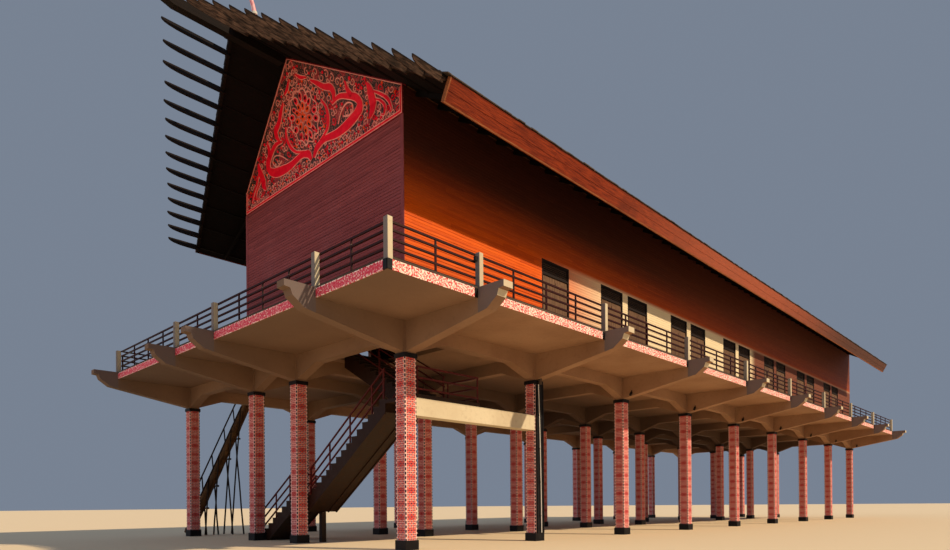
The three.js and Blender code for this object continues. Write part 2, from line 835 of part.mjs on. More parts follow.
function logStair() {
  const body = pole(logAxis(-metre), logAxis(logTop + metre), logRadius, 12);
  const reach = 2 * metre;
  const upright = box(logFootX - reach, logHeadX + reach, logFootY - metre, logFootY + 5 * metre, 0, logTop);
  const deckEdge = box(deckLeft - gap, deckLeft + metre, 0, 5 * metre, deckBottom - gap, deckTop + gap);
  return body.intersect(upright).subtract(deckEdge);
}

// Two poles that cross under the log, with the bar that carries it between them
function trestle(z) {
  const [x, y] = logAxis(z);
  const spread = handrailReach / (crossingDrop + handrailHeight);
  const foot = (z - crossingDrop) * spread;
  const top = z + handrailHeight;
  const barZ = z - (logRadius + poleRadius + gap) * hypot(1, logSlope);
  const barHalf = (barZ - z + crossingDrop) * spread;
  return [
    pole([x - foot, y, 0], [x + handrailReach, y, top], poleRadius, 6),
    pole([x + foot, y, 0], [x - handrailReach, y, top], poleRadius, 6),
    pole([x - barHalf, y, barZ], [x + barHalf, y, barZ], poleRadius, 6),
  ];
}

function logStairRails() {
  const handrail = (side, from, to) => {
    const [x0, y0, z0] = logAxis(from);
    const [x1, y1, z1] = logAxis(to);
    return pole([x0 + side * handrailReach, y0, z0 + handrailHeight],
      [x1 + side * handrailReach, y1, z1 + handrailHeight], poleRadius, 6);
  };
  const last = trestleHeights[trestleHeights.length - 1];
  const pieces = trestleHeights.flatMap(trestle);
  pieces.push(handrail(-1, metre, logTop - 0.7 * metre));
  pieces.push(handrail(1, metre, last + 0.05 * metre));
  const aboveGround = box(-12 * metre, 0, -3 * metre, 9 * metre, 0, 12 * metre);
  return join(pieces).intersect(aboveGround);
}

const model = new THREE.Group();
for (let row = 0; row < rowCount; row += 1) {
  model.add(node(`frame_${row}`, frameRow(row), looks.concrete()));
}
model.add(node('deck_slab', deckSlab(), looks.concrete()));
model.add(...parapets());
model.add(...houseWalls());
model.add(...roof());
model.add(...stair());
model.add(node('log_stair', logStair(), looks.log()));
model.add(node('log_stair_trestles', logStairRails(), looks.steel()));

// The frame's origin lies under the middle of the whole outline
const extent = new THREE.Box3().setFromObject(model);
const middle = extent.getCenter(new THREE.Vector3());
model.position.set(-middle.x, -middle.y, 0);

export default model;
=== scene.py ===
import math
import random

import bmesh
import bpy
from mathutils import Matrix, Vector


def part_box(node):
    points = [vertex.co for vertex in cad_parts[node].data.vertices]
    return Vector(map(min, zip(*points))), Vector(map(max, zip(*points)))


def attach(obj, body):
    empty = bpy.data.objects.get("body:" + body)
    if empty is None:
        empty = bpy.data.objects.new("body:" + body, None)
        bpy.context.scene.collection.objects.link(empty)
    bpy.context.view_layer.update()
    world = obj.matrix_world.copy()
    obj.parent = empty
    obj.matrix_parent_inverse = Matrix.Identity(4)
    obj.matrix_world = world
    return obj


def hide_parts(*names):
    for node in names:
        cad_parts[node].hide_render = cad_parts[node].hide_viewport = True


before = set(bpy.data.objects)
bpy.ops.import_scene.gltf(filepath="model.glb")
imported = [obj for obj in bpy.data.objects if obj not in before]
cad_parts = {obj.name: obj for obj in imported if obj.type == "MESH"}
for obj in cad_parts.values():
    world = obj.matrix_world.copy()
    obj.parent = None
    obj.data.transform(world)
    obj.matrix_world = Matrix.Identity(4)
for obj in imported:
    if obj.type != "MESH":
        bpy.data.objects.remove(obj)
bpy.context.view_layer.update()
print("frame loaded:", len(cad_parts), "nodes")

# Sizes are real metres. The model stands at half size, so a matrix puts every finished mesh in its place
house = {
    "scale": 0.5,
    "left": -2.23,
    "right": 7.48,
    "ridge": 2.625,
    "end": 48.3,
    "deckTop": 6.88,
    "deckLeft": -7.72,
    "deckRight": 10.62,
    "deckFront": -3.12,
    "skirting": 0.15,
    "panelFoot": 12.9,
    "plate": 13.8,
    "ridgeUnder": 16.4,
    "lean": 0.99,
    "roofSlope": 0.53553,
    "roofThickness": 0.07,
    "runRight": 7.47,
    "runLeft": 7.96,
    "vergeAtRidge": -2.95,
    "vergeRake": 0.28,
    "bay": 6.0,
    "rows": 9,
    "columnX": [-7.5, -1.55, 1.55, 7.5],
}
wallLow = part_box("front_wall")[0]
origin = Vector((wallLow.x - house["left"] * house["scale"], wallLow.y, 0))
place = Matrix.Translation(origin) @ Matrix.Scale(house["scale"], 4)
columnY = [row * house["bay"] for row in range(house["rows"])]
halfWidth = (house["right"] - house["left"]) / 2
roofAngle = math.atan(house["roofSlope"])


def vergeY(run):
    # Where the roof's front edge stands at a distance from the ridge
    return house["vergeAtRidge"] + house["vergeRake"] * run


def roofTop(run):
    # How high the roof's upper face is at a distance from the ridge
    return house["ridgeUnder"] + house["roofThickness"] - house["roofSlope"] * run


# Camera at the photograph's place, level, with the horizon low in the frame
view = {
    "position": (22.199, -12.297, 1.304),
    "turn": 43.268,
    "tilt": 0.104,
    "roll": -0.456,
    "lens": 24.44,
    "shift": (-0.0093, 0.241),
    "clip": (0.1, 500),
}
camera = bpy.data.objects.new("camera", bpy.data.cameras.new("camera"))
bpy.context.scene.collection.objects.link(camera)
camera.data.lens = view["lens"]
camera.data.shift_x, camera.data.shift_y = view["shift"]
camera.data.clip_start, camera.data.clip_end = view["clip"]
turned = (
    Matrix.Rotation(math.radians(view["turn"]), 4, "Z")
    @ Matrix.Rotation(math.radians(90 + view["tilt"]), 4, "X")
    @ Matrix.Rotation(math.radians(view["roll"]), 4, "Z")
)
camera.matrix_world = Matrix.Translation(place @ Vector(view["position"])) @ turned
bpy.context.scene.camera = camera
bpy.context.scene.view_settings.view_transform = "Standard"
print("camera set")


# Finishes
def paint(red, green, blue):
    # A colour as read off a screen, 0 to 255, made linear
    parts = [red / 255, green / 255, blue / 255]
    return [p / 12.92 if p < 0.04045 else ((p + 0.055) / 1.055) ** 2.4 for p in parts] + [1]


class Wire:
    # One output socket; sums, products and comparisons add their own Math nodes
    def __init__(self, finish, socket):
        self.finish = finish
        self.socket = socket

    def maths(self, operation, *others):
        return self.finish.add("ShaderNodeMath", {"operation": operation}, [self, *others])

    def after(self, operation, other):
        return self.finish.add("ShaderNodeMath", {"operation": operation}, [other, self])

    def __add__(self, other):
        return self.maths("ADD", other)

    def __radd__(self, other):
        return self.after("ADD", other)

    def __sub__(self, other):
        return self.maths("SUBTRACT", other)

    def __rsub__(self, other):
        return self.after("SUBTRACT", other)

    def __mul__(self, other):
        return self.maths("MULTIPLY", other)

    def __rmul__(self, other):
        return self.after("MULTIPLY", other)

    def __truediv__(self, other):
        return self.maths("DIVIDE", other)

    def __mod__(self, other):
        return self.maths("FLOORED_MODULO", other)

    def __gt__(self, other):
        return self.maths("GREATER_THAN", other)

    def __lt__(self, other):
        return self.maths("LESS_THAN", other)

    def between(self, low, high):
        # 0 at low, 1 at high, eased, and held outside
        return self.finish.add("ShaderNodeMapRange", {"interpolation_type": "SMOOTHSTEP"}, [self, low, high])

    def out(self, name):
        return Wire(self.finish, self.socket.node.outputs[name])


class Finish:
    # A material whose patterns are drawn in real metres
    def __init__(self, name, roughness, specular=0.5):
        self.material = bpy.data.materials.new(name)
        self.material.use_nodes = True
        self.tree = self.material.node_tree
        self.shader = self.tree.nodes["Principled BSDF"]
        self.shader.inputs["Roughness"].default_value = roughness
        self.shader.inputs["Specular IOR Level"].default_value = specular
        own = self.add("ShaderNodeTexCoord", out="Object")
        moved = self.add("ShaderNodeVectorMath", {"operation": "SUBTRACT"}, [own, origin])
        size = {0: moved, "Scale": 1 / house["scale"]}
        self.real = self.add("ShaderNodeVectorMath", {"operation": "SCALE"}, size)
        self.x = self.add("ShaderNodeSeparateXYZ", inputs=[self.real])
        self.y = self.x.out("Y")
        self.z = self.x.out("Z")

    def add(self, kind, settings=None, inputs=(), out=0):
        # One node: its settings, then the values or links of its sockets
        node = self.tree.nodes.new(kind)
        for key, value in (settings or {}).items():
            setattr(node, key, value)
        pairs = inputs.items() if isinstance(inputs, dict) else enumerate(inputs)
        for key, value in pairs:
            if isinstance(value, Wire):
                self.tree.links.new(value.socket, node.inputs[key])
            else:
                node.inputs[key].default_value = value
        return Wire(self, node.outputs[out])

    def mix(self, share, first, second):
        return self.add("ShaderNodeMix", {"data_type": "RGBA"}, {0: share, 6: first, 7: second}, out=2)

    def stretched(self, factors):
        # The coordinates squeezed, so that a grain runs along the smallest factor's axis
        return self.add("ShaderNodeVectorMath", {"operation": "MULTIPLY"}, [self.real, factors])

    def vector(self, x, y, z):
        return self.add("ShaderNodeCombineXYZ", inputs=[x, y, z])

    def noise(self, scale, detail, vector=None, distortion=0.0):
        inputs = {"Vector": vector or self.real, "Scale": scale, "Detail": detail, "Distortion": distortion}
        return self.add("ShaderNodeTexNoise", inputs=inputs)

    def chance(self, x, y):
        # The same random number all over a cell
        return self.add("ShaderNodeTexWhiteNoise", {"noise_dimensions": "3D"}, [self.vector(x, y, 0.0)])

    def faces(self, axis):
        # 1 on faces that look along the axis, either way
        normal = self.add("ShaderNodeNewGeometry", out="Normal")
        part = self.add("ShaderNodeSeparateXYZ", inputs=[normal], out=axis)
        return part.maths("ABSOLUTE") > 0.6

    def feed(self, name, wire):
        self.tree.links.new(wire.socket, self.shader.inputs[name])

    def bump(self, height, depth, strength):
        # depth is in real metres
        inputs = {"Strength": strength, "Distance": depth * house["scale"], "Height": height}
        self.feed("Normal", self.add("ShaderNodeBump", inputs=inputs))


def sidingFinish(name, along, settings):
    # Lapped boards, each with its own tone, a grain along its length and broad stains
    finish = Finish(name, settings["roughness"], 0.15)
    run = getattr(finish, along)
    row = ((finish.z - house["deckTop"]) / settings["pitch"]).maths("FLOOR")
    joint = ((run + row * settings["stagger"]) / settings["board"]).maths("FLOOR")
    grain = finish.noise(5.0, 5.0, finish.stretched(settings["stretch"][along]))
    stain = finish.noise(0.35, 3.0)
    colour = finish.mix(finish.chance(row, joint), settings["dark"], settings["light"])
    colour = finish.mix((grain - 0.5) * 1.3 + 0.35, colour, settings["streak"])
    colour = finish.mix(stain.between(0.45, 0.75) * 0.45, colour, settings["worn"])
    if "lowTint" in settings:
        colour = sideShadeAndTints(finish, colour, settings)
    finish.feed("Base Color", colour)
    finish.feed("Roughness", grain * 0.3 + (settings["roughness"] - 0.15))
    finish.bump(grain, 0.01, 0.6)
    return finish.material


def sideShadeAndTints(finish, colour, settings):
    # Paler and pinker low down, painted shade under the eave, darkest near the front and greyer further
    # along, then a cream tint low along the doors and past it a red-brown that is partly painted shade
    # Paler and pinker low down
    lowTintMask = (1 - finish.z.between(*settings["lowTintBelow"])) * settings["lowTintShare"]
    colour = finish.mix(lowTintMask, colour, settings["lowTint"])
    # Painted shade: darker upwards under the eave, less so further along the wall
    near, cleared = settings["paintedShadeShare"]
    share = near - finish.y.between(*settings["paintedShadeClears"]) * cleared
    paintedShade = finish.z.between(*settings["paintedShadeAbove"]) * share
    colour = finish.mix(paintedShade, colour, settings["paintedShade"])
    # Painted shade: a greyer cast just above the shadow line, growing along the wall
    near, gained = settings["shadeGreyShare"]
    share = finish.y.between(*settings["shadeGreyGrows"]) * gained + near
    shadeGrey = finish.z.between(*settings["shadeGreyAbove"]) * share
    colour = finish.mix(shadeGrey, colour, settings["shadeGrey"])
    low = 1 - finish.z.between(*settings["paleBelow"])
    pale = low * finish.y.between(*settings["paleBehind"]) * settings["paleShare"]
    colour = finish.mix(pale, colour, settings["pale"])
    # Past the middle the wall turns red-brown, and darker as painted shade
    redBrownAndShade = low * finish.y.between(*settings["redBrownAndShadeBehind"]) * settings["redBrownAndShadeShare"]
    return finish.mix(redBrownAndShade, colour, settings["redBrownAndShade"])


# Below, Above and Behind are the two places between which a paint sets in
siding = {
    "pitch": 0.105,
    "board": 4.2,
    "stagger": 1.7,
    "roughness": 0.62,
    "stretch": {"x": (0.35, 6.0, 9.0), "y": (6.0, 0.35, 9.0)},
    "dark": paint(132, 60, 61),
    "light": paint(158, 76, 76),
    "streak": paint(108, 48, 50),
    "worn": paint(148, 82, 84),
}
# The side walls' boards are the front's boards painted a brighter orange: painted sunlight, with painted
# shade laid over it above the shadow line
sunnySiding = dict(
    siding,
    dark=paint(212, 82, 0),
    light=paint(246, 106, 0),
    streak=paint(176, 62, 2),
    worn=paint(218, 100, 18),
    # Paler and pinker low down
    lowTint=paint(206, 100, 62),
    lowTintBelow=(7.2, 8.9),
    lowTintShare=0.6,
    # Painted shade under the eave
    paintedShade=paint(30, 10, 9),
    paintedShadeAbove=(9.9, 12.2),
    paintedShadeClears=(8.0, 34.0),
    paintedShadeShare=(0.94, 0.3),
    # Painted shade: a greyer cast above the shadow line
    shadeGrey=paint(80, 62, 58),
    shadeGreyAbove=(10.3, 10.8),
    shadeGreyGrows=(4.0, 34.0),
    shadeGreyShare=(0.12, 0.45),
    pale=paint(240, 226, 188),
    paleBelow=(10.35, 10.6),
    paleBehind=(6.0, 12.5),
    paleShare=0.92,
    # Red-brown past the middle of the wall, partly painted shade
    redBrownAndShade=paint(112, 48, 30),
    redBrownAndShadeBehind=(26.4, 27.4),
    redBrownAndShadeShare=0.95,
)


def concreteFinish(name, settings):
    # Clouded and speckled concrete, with painted shade towards the front and in the middle where the settings
    # give them
    finish = Finish(name, 0.85, 0.2)
    cloud = finish.noise(0.5, 4.0)
    speck = finish.noise(9.0, 4.0)
    colour = finish.mix(cloud.between(0.3, 0.75), settings["base"], settings["stain"])
    colour = finish.mix(speck.between(0.5, 0.8) * 0.3, colour, settings["speck"])
    # Painted shade towards the front, only on some faces where the settings say so
    if "frontShade" in settings:
        frontShade = 1 - finish.y.between(*settings["frontShadeBefore"])
        if "frontShadeFaces" in settings:
            frontShade = frontShade * finish.faces(settings["frontShadeFaces"])
        colour = finish.mix(frontShade * settings["frontShadeShare"], colour, settings["frontShade"])
    # Painted shade in the middle of the deck's underside
    if "paintedShade" in settings:
        inside = 1 - finish.x.maths("ABSOLUTE").between(*settings["paintedShadeWithin"])
        paintedShade = inside * finish.y.between(*settings["paintedShadeBehind"]) * settings["paintedShadeShare"]
        colour = finish.mix(paintedShade, colour, settings["paintedShade"])
    finish.feed("Base Color", colour)
    finish.bump(speck + cloud * 0.5, 0.012, 0.5)
    return finish


# Painted shade lies at the front, where y is below the two limits, and in the middle of the deck's underside,
# within the two distances from the axis and behind the two places along it
soffit = {
    "base": paint(162, 126, 98),
    "stain": paint(142, 106, 80),
    "speck": paint(118, 88, 66),
    # Painted shade in the middle of the underside
    "paintedShade": paint(62, 48, 42),
    "paintedShadeWithin": (2.0, 8.6),
    "paintedShadeBehind": (-0.5, 6.0),
    "paintedShadeShare": 0.85,
    # Painted shade at the front
    "frontShade": paint(108, 88, 74),
    "frontShadeBefore": (-3.6, 3.0),
    "frontShadeShare": 0.85,
}
cream = {
    "base": paint(214, 202, 174),
    "stain": paint(194, 178, 150),
    "speck": paint(164, 144, 116),
    # Painted shade on the faces that look along the wing
    "frontShade": paint(110, 102, 104),
    "frontShadeBefore": (-2.0, 60.0),
    "frontShadeFaces": "Y",
    "frontShadeShare": 0.9,
}
curb = {"base": paint(92, 76, 62), "stain": paint(72, 58, 50), "speck": paint(56, 46, 40)}
column = {
    "half": 0.215,
    "ring": (5.66, 5.76),
    "ringOut": 0.247,
    "ringOver": 0.015,
    "foot": 0.28,
    "footOut": 0.2485,
    "footOver": 0.01,
}
# The pattern repeats twice on its length: a field with a strong lozenge, then one with a faint lozenge
columnPaint = {
    "repeat": 0.78,
    "lozenge": (0.36, 0.12),
    "lattice": 0.13,
    "bead": 0.13,
    "dash": 0.13,
    "dashShare": 0.62,
    "seam": 0.165,
    "dashLine": 0.184,
    # Shares of the painted shade on the brackets' sides and of the painted highlight on their ends
    "bracketShadeShare": 0.85,
    "endShare": 0.8,
    "pink": paint(226, 132, 122),
    "rose": paint(196, 52, 44),
    "red": paint(198, 16, 10),
    "white": paint(255, 214, 202),
    "slate": paint(44, 34, 66),
    "ink": paint(26, 20, 42),
    "black": paint(24, 20, 22),
    # Painted shade on the sides of the brackets past the deck
    "bracketShade": paint(108, 96, 94),
}


def frameFinish():
    # Tan concrete above the ring, a black ring and base, and the painted pattern between them
    finish = concreteFinish("columnFinish", soffit)
    plain = Wire(finish, finish.shader.inputs["Base Color"].links[0].from_socket)
    plain = bracketShadeAndLight(finish, plain)
    black, painted = columnPaint["black"], columnPattern(finish)
    foot, (low, high) = column["foot"], column["ring"]
    colour = finish.mix((finish.z > foot) * (finish.z < low), plain, painted)
    ends = (finish.z < foot + 0.001) + (finish.z > low - 0.005) * (finish.z < high + 0.005)
    colour = finish.mix(ends, colour, black)
    finish.feed("Base Color", colour)
    return finish.material


def bracketShadeAndLight(finish, plain):
    # The brackets past the deck's edges get a painted shade of grey on their sides and a painted highlight of
    # pale cream on their ends
    onX, onY, share = finish.faces("X"), finish.faces("Y"), columnPaint["bracketShadeShare"]
    before = finish.y < house["deckFront"] - 0.01
    past = finish.x > house["deckRight"] + 0.01
    plain = finish.mix(before * onX * share, plain, columnPaint["bracketShade"])
    plain = finish.mix(past * onY * share, plain, columnPaint["bracketShade"])
    return finish.mix(past * onX * columnPaint["endShare"], plain, cream["base"])


def columnPattern(finish):
    # across and v run over one face of a column, from its middle line and from the middle of each field
    bay, (near, far) = house["bay"], house["columnX"][2:]
    localY = (finish.y + bay / 2) % bay - bay / 2
    spread = finish.x.maths("ABSOLUTE")
    localX = spread - ((spread > (near + far) / 2) * (far - near) + near)
    across = (finish.faces("X") * (localY - localX) + localX).maths("ABSOLUTE")
    half = columnPaint["repeat"] / 2
    v = finish.z % half - half / 2
    up = v.maths("ABSOLUTE")
    strong = (finish.z % columnPaint["repeat"]) < half
    curl = finish.noise(17.0, 2.0, finish.vector(across, up, strong), distortion=1.6)
    colour = finish.mix(curl.between(0.44, 0.56), columnPaint["pink"], columnPaint["rose"])
    wide, tall = columnPaint["lozenge"]
    reach = across / wide + up / tall + (curl - 0.5) * 1.2
    flower = 1 - reach.between(0.55, 0.95)
    colour = finish.mix(flower * (strong * 0.35 + 0.35), colour, columnPaint["red"])
    # A lattice with a dark bead where its lines cross and a red one in every field
    step = columnPaint["lattice"]
    rising = ((across + v) / step).maths("FRACT") - 0.5
    falling = ((across - v) / step).maths("FRACT") - 0.5
    thread = rising.maths("ABSOLUTE").maths("MAXIMUM", falling.maths("ABSOLUTE")) > 0.34
    colour = finish.mix(thread * (0.72 - flower * 0.55), colour, columnPaint["white"])
    turn = 2 * math.pi / columnPaint["bead"]
    beads = ((across * turn).maths("COSINE") + (v * turn).maths("COSINE")).maths("ABSOLUTE")
    colour = finish.mix((beads > 1.35) * 0.85, colour, columnPaint["slate"])
    colour = finish.mix((beads < 0.24) * 0.7, colour, columnPaint["red"])
    colour = finish.mix((reach < 0.1) * 0.8, colour, columnPaint["ink"])
    # A pale seam with dark dashes along each corner
    seam = across > columnPaint["seam"]
    dash = (finish.z % columnPaint["dash"]) < columnPaint["dash"] * columnPaint["dashShare"]
    colour = finish.mix(seam * 0.7, colour, columnPaint["white"])
    return finish.mix(seam * dash * (across > columnPaint["dashLine"]), colour, columnPaint["ink"])


bandPaint = {
    "middle": 6.81,
    "half": 0.12,
    "cell": 0.46,
    "white": paint(255, 230, 216),
    "red": paint(206, 30, 34),
    "frontRed": paint(206, 28, 56),
    "frontPink": paint(220, 84, 104),
}


def bandFinish():
    # Marbled in cells that are mirrored on their middle. The front carries a redder paint than the sides
    finish = Finish("bandFinish", 0.6)
    along = finish.faces("X")
    run = along * (finish.y - finish.x) + finish.x
    half, cell = bandPaint["half"], bandPaint["cell"]
    height = ((finish.z - bandPaint["middle"]) / half).maths("ABSOLUTE")
    local = (run % cell - cell / 2).maths("ABSOLUTE")
    folded = finish.vector(local, height * half, (run / cell).maths("FLOOR") % 3)
    curl = finish.noise(5.5, 1.5, folded, distortion=2.4)
    line = ((curl * 5).maths("FRACT") - 0.5).maths("ABSOLUTE")
    speck = finish.noise(20.0, 1.0)
    ground = finish.mix(along, bandPaint["frontRed"], bandPaint["red"])
    light = finish.mix(along, bandPaint["frontPink"], bandPaint["white"])
    colour = finish.mix(line.between(0.2, 0.26), light, ground)
    colour = finish.mix((speck > 0.6) * (0.6 + along * 0.2), colour, bandPaint["white"])
    colour = finish.mix((speck < 0.42) * 0.85, colour, ground)
    colour = finish.mix((height > 0.82) * (speck > 0.5) * 0.9, colour, bandPaint["white"])
    finish.feed("Base Color", colour)
    return finish.material


def steelFinish(name, dark, light, side=None):
    # side is the paint on faces that look along the wing
    finish = Finish(name, 0.5, 0.15)
    wear = finish.noise(6.0, 4.0)
    colour = finish.mix(wear.between(0.45, 0.75), dark, light)
    if side:
        colour = finish.mix(finish.faces("Y") * 0.9, colour, side)
    finish.feed("Base Color", colour)
    finish.feed("Roughness", wear * 0.4 + 0.3)
    finish.bump(wear, 0.004, 0.4)
    return finish.material


def timberFinish(name, dark, light, stretch, scale=6.0, roughness=0.8, depth=0.012, beyond=()):
    # Each row of beyond is a stretch of y over which a colour sets in, its share and the colour
    finish = Finish(name, roughness, 0.15)
    grain = finish.noise(scale, 6.0, finish.stretched(stretch), distortion=0.4)
    patch = finish.noise(0.7, 3.0)
    colour = finish.mix(grain.between(0.3, 0.7), dark, light)
    shade = [c * 0.6 for c in dark[:3]] + [1]
    colour = finish.mix(patch.between(0.45, 0.8) * 0.6, colour, shade)
    for places, share, tint in beyond:
        colour = finish.mix(finish.y.between(*places) * share, colour, tint)
    finish.feed("Base Color", colour)
    finish.bump(grain, depth, 0.8)
    return finish.material


vergePaint = {
    "dark": paint(24, 17, 15),
    "light": paint(92, 71, 60),
    "patch": paint(40, 30, 26),
    # Painted shade along the planks' top edges
    "edge": paint(18, 13, 12),
    "shadedEdgeAbove": (-0.01, 0.04),
}


def vergeFinish():
    # Old planks on edge, mottled, and dark along the top edge as painted shade
    finish = Finish("vergeFinish", 0.85, 0.15)
    grain = finish.noise(4.5, 6.0, finish.stretched((5.0, 0.9, 6.0)), distortion=0.4)
    patch = finish.noise(1.6, 3.0)
    lift = finish.z - house["ridgeUnder"] + (finish.x - house["ridge"]) * house["roofSlope"]
    colour = finish.mix(grain.between(0.32, 0.68), vergePaint["dark"], vergePaint["light"])
    colour = finish.mix(patch.between(0.4, 0.7) * 0.5, colour, vergePaint["patch"])
    # Painted shade along the top edge
    colour = finish.mix(lift.between(*vergePaint["shadedEdgeAbove"]) * 0.8, colour, vergePaint["edge"])
    finish.feed("Base Color", colour)
    finish.bump(grain, 0.012, 0.8)
    return finish.material


def shingleFinish(settings):
    # A tone for every shingle, a grain down the slope and moss in patches
    finish = Finish("shingleFinish", 0.88)
    run = (finish.x - house["ridge"]).maths("ABSOLUTE")
    row = (run / settings["exposure"]).maths("FLOOR")
    piece = (finish.y / settings["width"] + row * 0.37).maths("FLOOR")
    grain = finish.noise(4.0, 4.0, finish.stretched((1.5, 14.0, 1.5)))
    moss = finish.noise(0.5, 4.0)
    colour = finish.mix(finish.chance(row, piece), settings["dark"], settings["light"])
    colour = finish.mix(grain.between(0.4, 0.8) * 0.6, colour, settings["grey"])
    colour = finish.mix(moss.between(0.55, 0.75) * 0.5, colour, settings["moss"])
    finish.feed("Base Color", colour)
    finish.bump(grain, 0.01, 0.8)
    return finish.material


shingles = {
    "exposure": 0.25,
    "width": 0.3,
    "stagger": 0.13,
    "lift": 0.045,
    "rest": 0.006,
    "lap": 0.02,
    "jitter": 0.012,
    "thickness": 0.025,
    "overRight": 0.12,
    "overLeft": 0.06,
    "dark": paint(44, 34, 30),
    "light": paint(78, 62, 50),
    "grey": paint(98, 88, 78),
    "moss": paint(62, 60, 38),
}


panelPaint = {"dark": paint(40, 18, 16), "red": paint(150, 16, 30), "line": paint(214, 124, 116)}


def panelGroundFinish():
    # A dark ground with red fields and thin pale curls, behind the raised ornament
    finish = Finish("panelGroundFinish", 0.7)
    curl = finish.noise(2.2, 1.5, distortion=2.4)
    line = ((curl * 8).maths("FRACT") - 0.5).maths("ABSOLUTE")
    colour = finish.mix(curl.between(0.52, 0.58), panelPaint["dark"], panelPaint["red"])
    colour = finish.mix((line < 0.06) * 0.85, colour, panelPaint["line"])
    finish.feed("Base Color", colour)
    finish.bump(line, 0.01, 0.5)
    return finish.material


def glossFinish(name, dark, light, stretch=(2.0, 2.0, 2.0)):
    # Gloss paint on carved wood
    return timberFinish(name, dark, light, stretch, 3.0, 0.5)


finishes = {
    "frontSiding": sidingFinish("frontSidingFinish", "x", siding),
    # Painted sunlight and painted shade on the side walls
    "sideSiding": sidingFinish("sideSidingFinish", "y", sunnySiding),
    "rearSiding": sidingFinish("rearSidingFinish", "x", siding),
    "innerWall": timberFinish("innerWallFinish", paint(110, 70, 48), paint(140, 94, 66), (0.5, 0.5, 8.0)),
    "frame": frameFinish(),
    "soffit": concreteFinish("soffitFinish", soffit).material,
    "cream": concreteFinish("creamFinish", cream).material,
    "band": bandFinish(),
    "curb": concreteFinish("curbFinish", curb).material,
    "rail": steelFinish("railFinish", paint(44, 8, 4), paint(58, 14, 8)),
    "stair": steelFinish("stairFinish", paint(42, 26, 15), paint(56, 36, 22), paint(38, 17, 7)),
    "stairRail": steelFinish("stairRailFinish", paint(78, 24, 20), paint(100, 36, 30)),
    "black": steelFinish("blackFinish", paint(18, 16, 18), paint(34, 30, 30)),
    "shingle": shingleFinish(shingles),
    # Near black: painted shade on the timbers under the roof and on the left eave's boards
    "dark": timberFinish("underRoofFinish", paint(10, 6, 6), paint(19, 12, 11), (6.0, 0.5, 6.0)),
    "eave": timberFinish(
        "eaveFinish", paint(98, 30, 11), paint(150, 58, 24), (8.0, 0.4, 8.0), 5.0, 0.6,
        beyond=[((5.0, 18.0), 0.5, paint(200, 116, 88)), ((22.0, 38.0), 0.85, paint(66, 48, 42))]),
    "horn": glossFinish("hornFinish", paint(226, 92, 118), paint(255, 226, 226), (9.0, 9.0, 0.4)),
    "eaveTrim": timberFinish("eaveTrimFinish", paint(132, 74, 44), paint(168, 104, 66), (8.0, 0.4, 8.0)),
    "verge": vergeFinish(),
    # The same old wood as the verge finish, painted darker: painted shade on the left slope's planks
    "spike": timberFinish("spikeFinish", paint(15, 11, 11), paint(34, 24, 20), (8.0, 0.3, 12.0)),
    "log": timberFinish("logFinish", paint(62, 42, 26), paint(110, 80, 50), (6.0, 1.2, 0.6), 4.0, 0.9, 0.03),
    "pole": timberFinish("poleFinish", paint(34, 28, 26), paint(60, 50, 42), (6.0, 6.0, 0.6)),
    "door": timberFinish("doorFinish", paint(92, 68, 52), paint(126, 96, 72), (9.0, 9.0, 0.5), 4.0, 0.65),
    "transom": timberFinish("transomFinish", paint(28, 22, 22), paint(42, 32, 30), (9.0, 0.5, 9.0)),
    "panelGround": panelGroundFinish(),
    "railFoot": steelFinish("railFootFinish", paint(70, 62, 58), paint(120, 108, 96)),
    "tread": steelFinish("treadFinish", paint(48, 31, 20), paint(70, 48, 32)),
    "lashing": timberFinish("lashingFinish", paint(60, 46, 34), paint(96, 76, 54), (20.0, 20.0, 20.0)),
    "trim": timberFinish("trimFinish", paint(126, 60, 64), paint(146, 74, 78), (6.0, 6.0, 0.5)),
    "red": glossFinish("redPaintFinish", paint(236, 4, 36), paint(254, 10, 48)),
    "maroon": glossFinish("maroonPaintFinish", paint(112, 6, 18), paint(140, 12, 26)),
    "pink": glossFinish("pinkPaintFinish", paint(246, 142, 132), paint(255, 172, 160)),
    "orange": glossFinish("orangePaintFinish", paint(246, 56, 14), paint(254, 96, 24)),
    "white": glossFinish("whitePaintFinish", paint(214, 210, 200), paint(232, 228, 220), (3.0, 3.0, 0.5)),
}
print("finishes ready")


# Making pieces
def paintAround(verts, slot):
    # Gives the faces at these vertices one material slot, and hands the faces back
    faces = list(dict.fromkeys(face for vert in verts for face in vert.link_faces))
    for face in faces:
        face.material_index = slot
    return faces


def addBox(bm, x0, x1, y0, y1, z0, z1, slot=0):
    size = Matrix.Diagonal((x1 - x0, y1 - y0, z1 - z0, 1))
    centre = Matrix.Translation(((x0 + x1) / 2, (y0 + y1) / 2, (z0 + z1) / 2))
    paintAround(bmesh.ops.create_cube(bm, size=1, matrix=centre @ size)["verts"], slot)


def addPost(bm, x, y, half, z0, z1):
    # A square post or plate around a point in plan
    addBox(bm, x - half, x + half, y - half, y + half, z0, z1)


def addBar(bm, start, end, width, height):
    # A square bar from point to point, its height kept as upright as the run allows
    start, end = Vector(start), Vector(end)
    along = end - start
    turn = along.to_track_quat("X", "Z").to_matrix().to_4x4()
    size = Matrix.Diagonal((along.length, width, height, 1))
    bmesh.ops.create_cube(bm, size=1, matrix=Matrix.Translation((start + end) / 2) @ turn @ size)


def addRound(bm, matrix, radius, high, sides, slot, taper=1.0):
    # A round piece around its own z, its upper end narrowed by the taper
    made = bmesh.ops.create_cone(
        bm, cap_ends=True, segments=sides, radius1=radius, radius2=radius * taper, depth=high, matrix=matrix,
    )
    paintAround(made["verts"], slot)


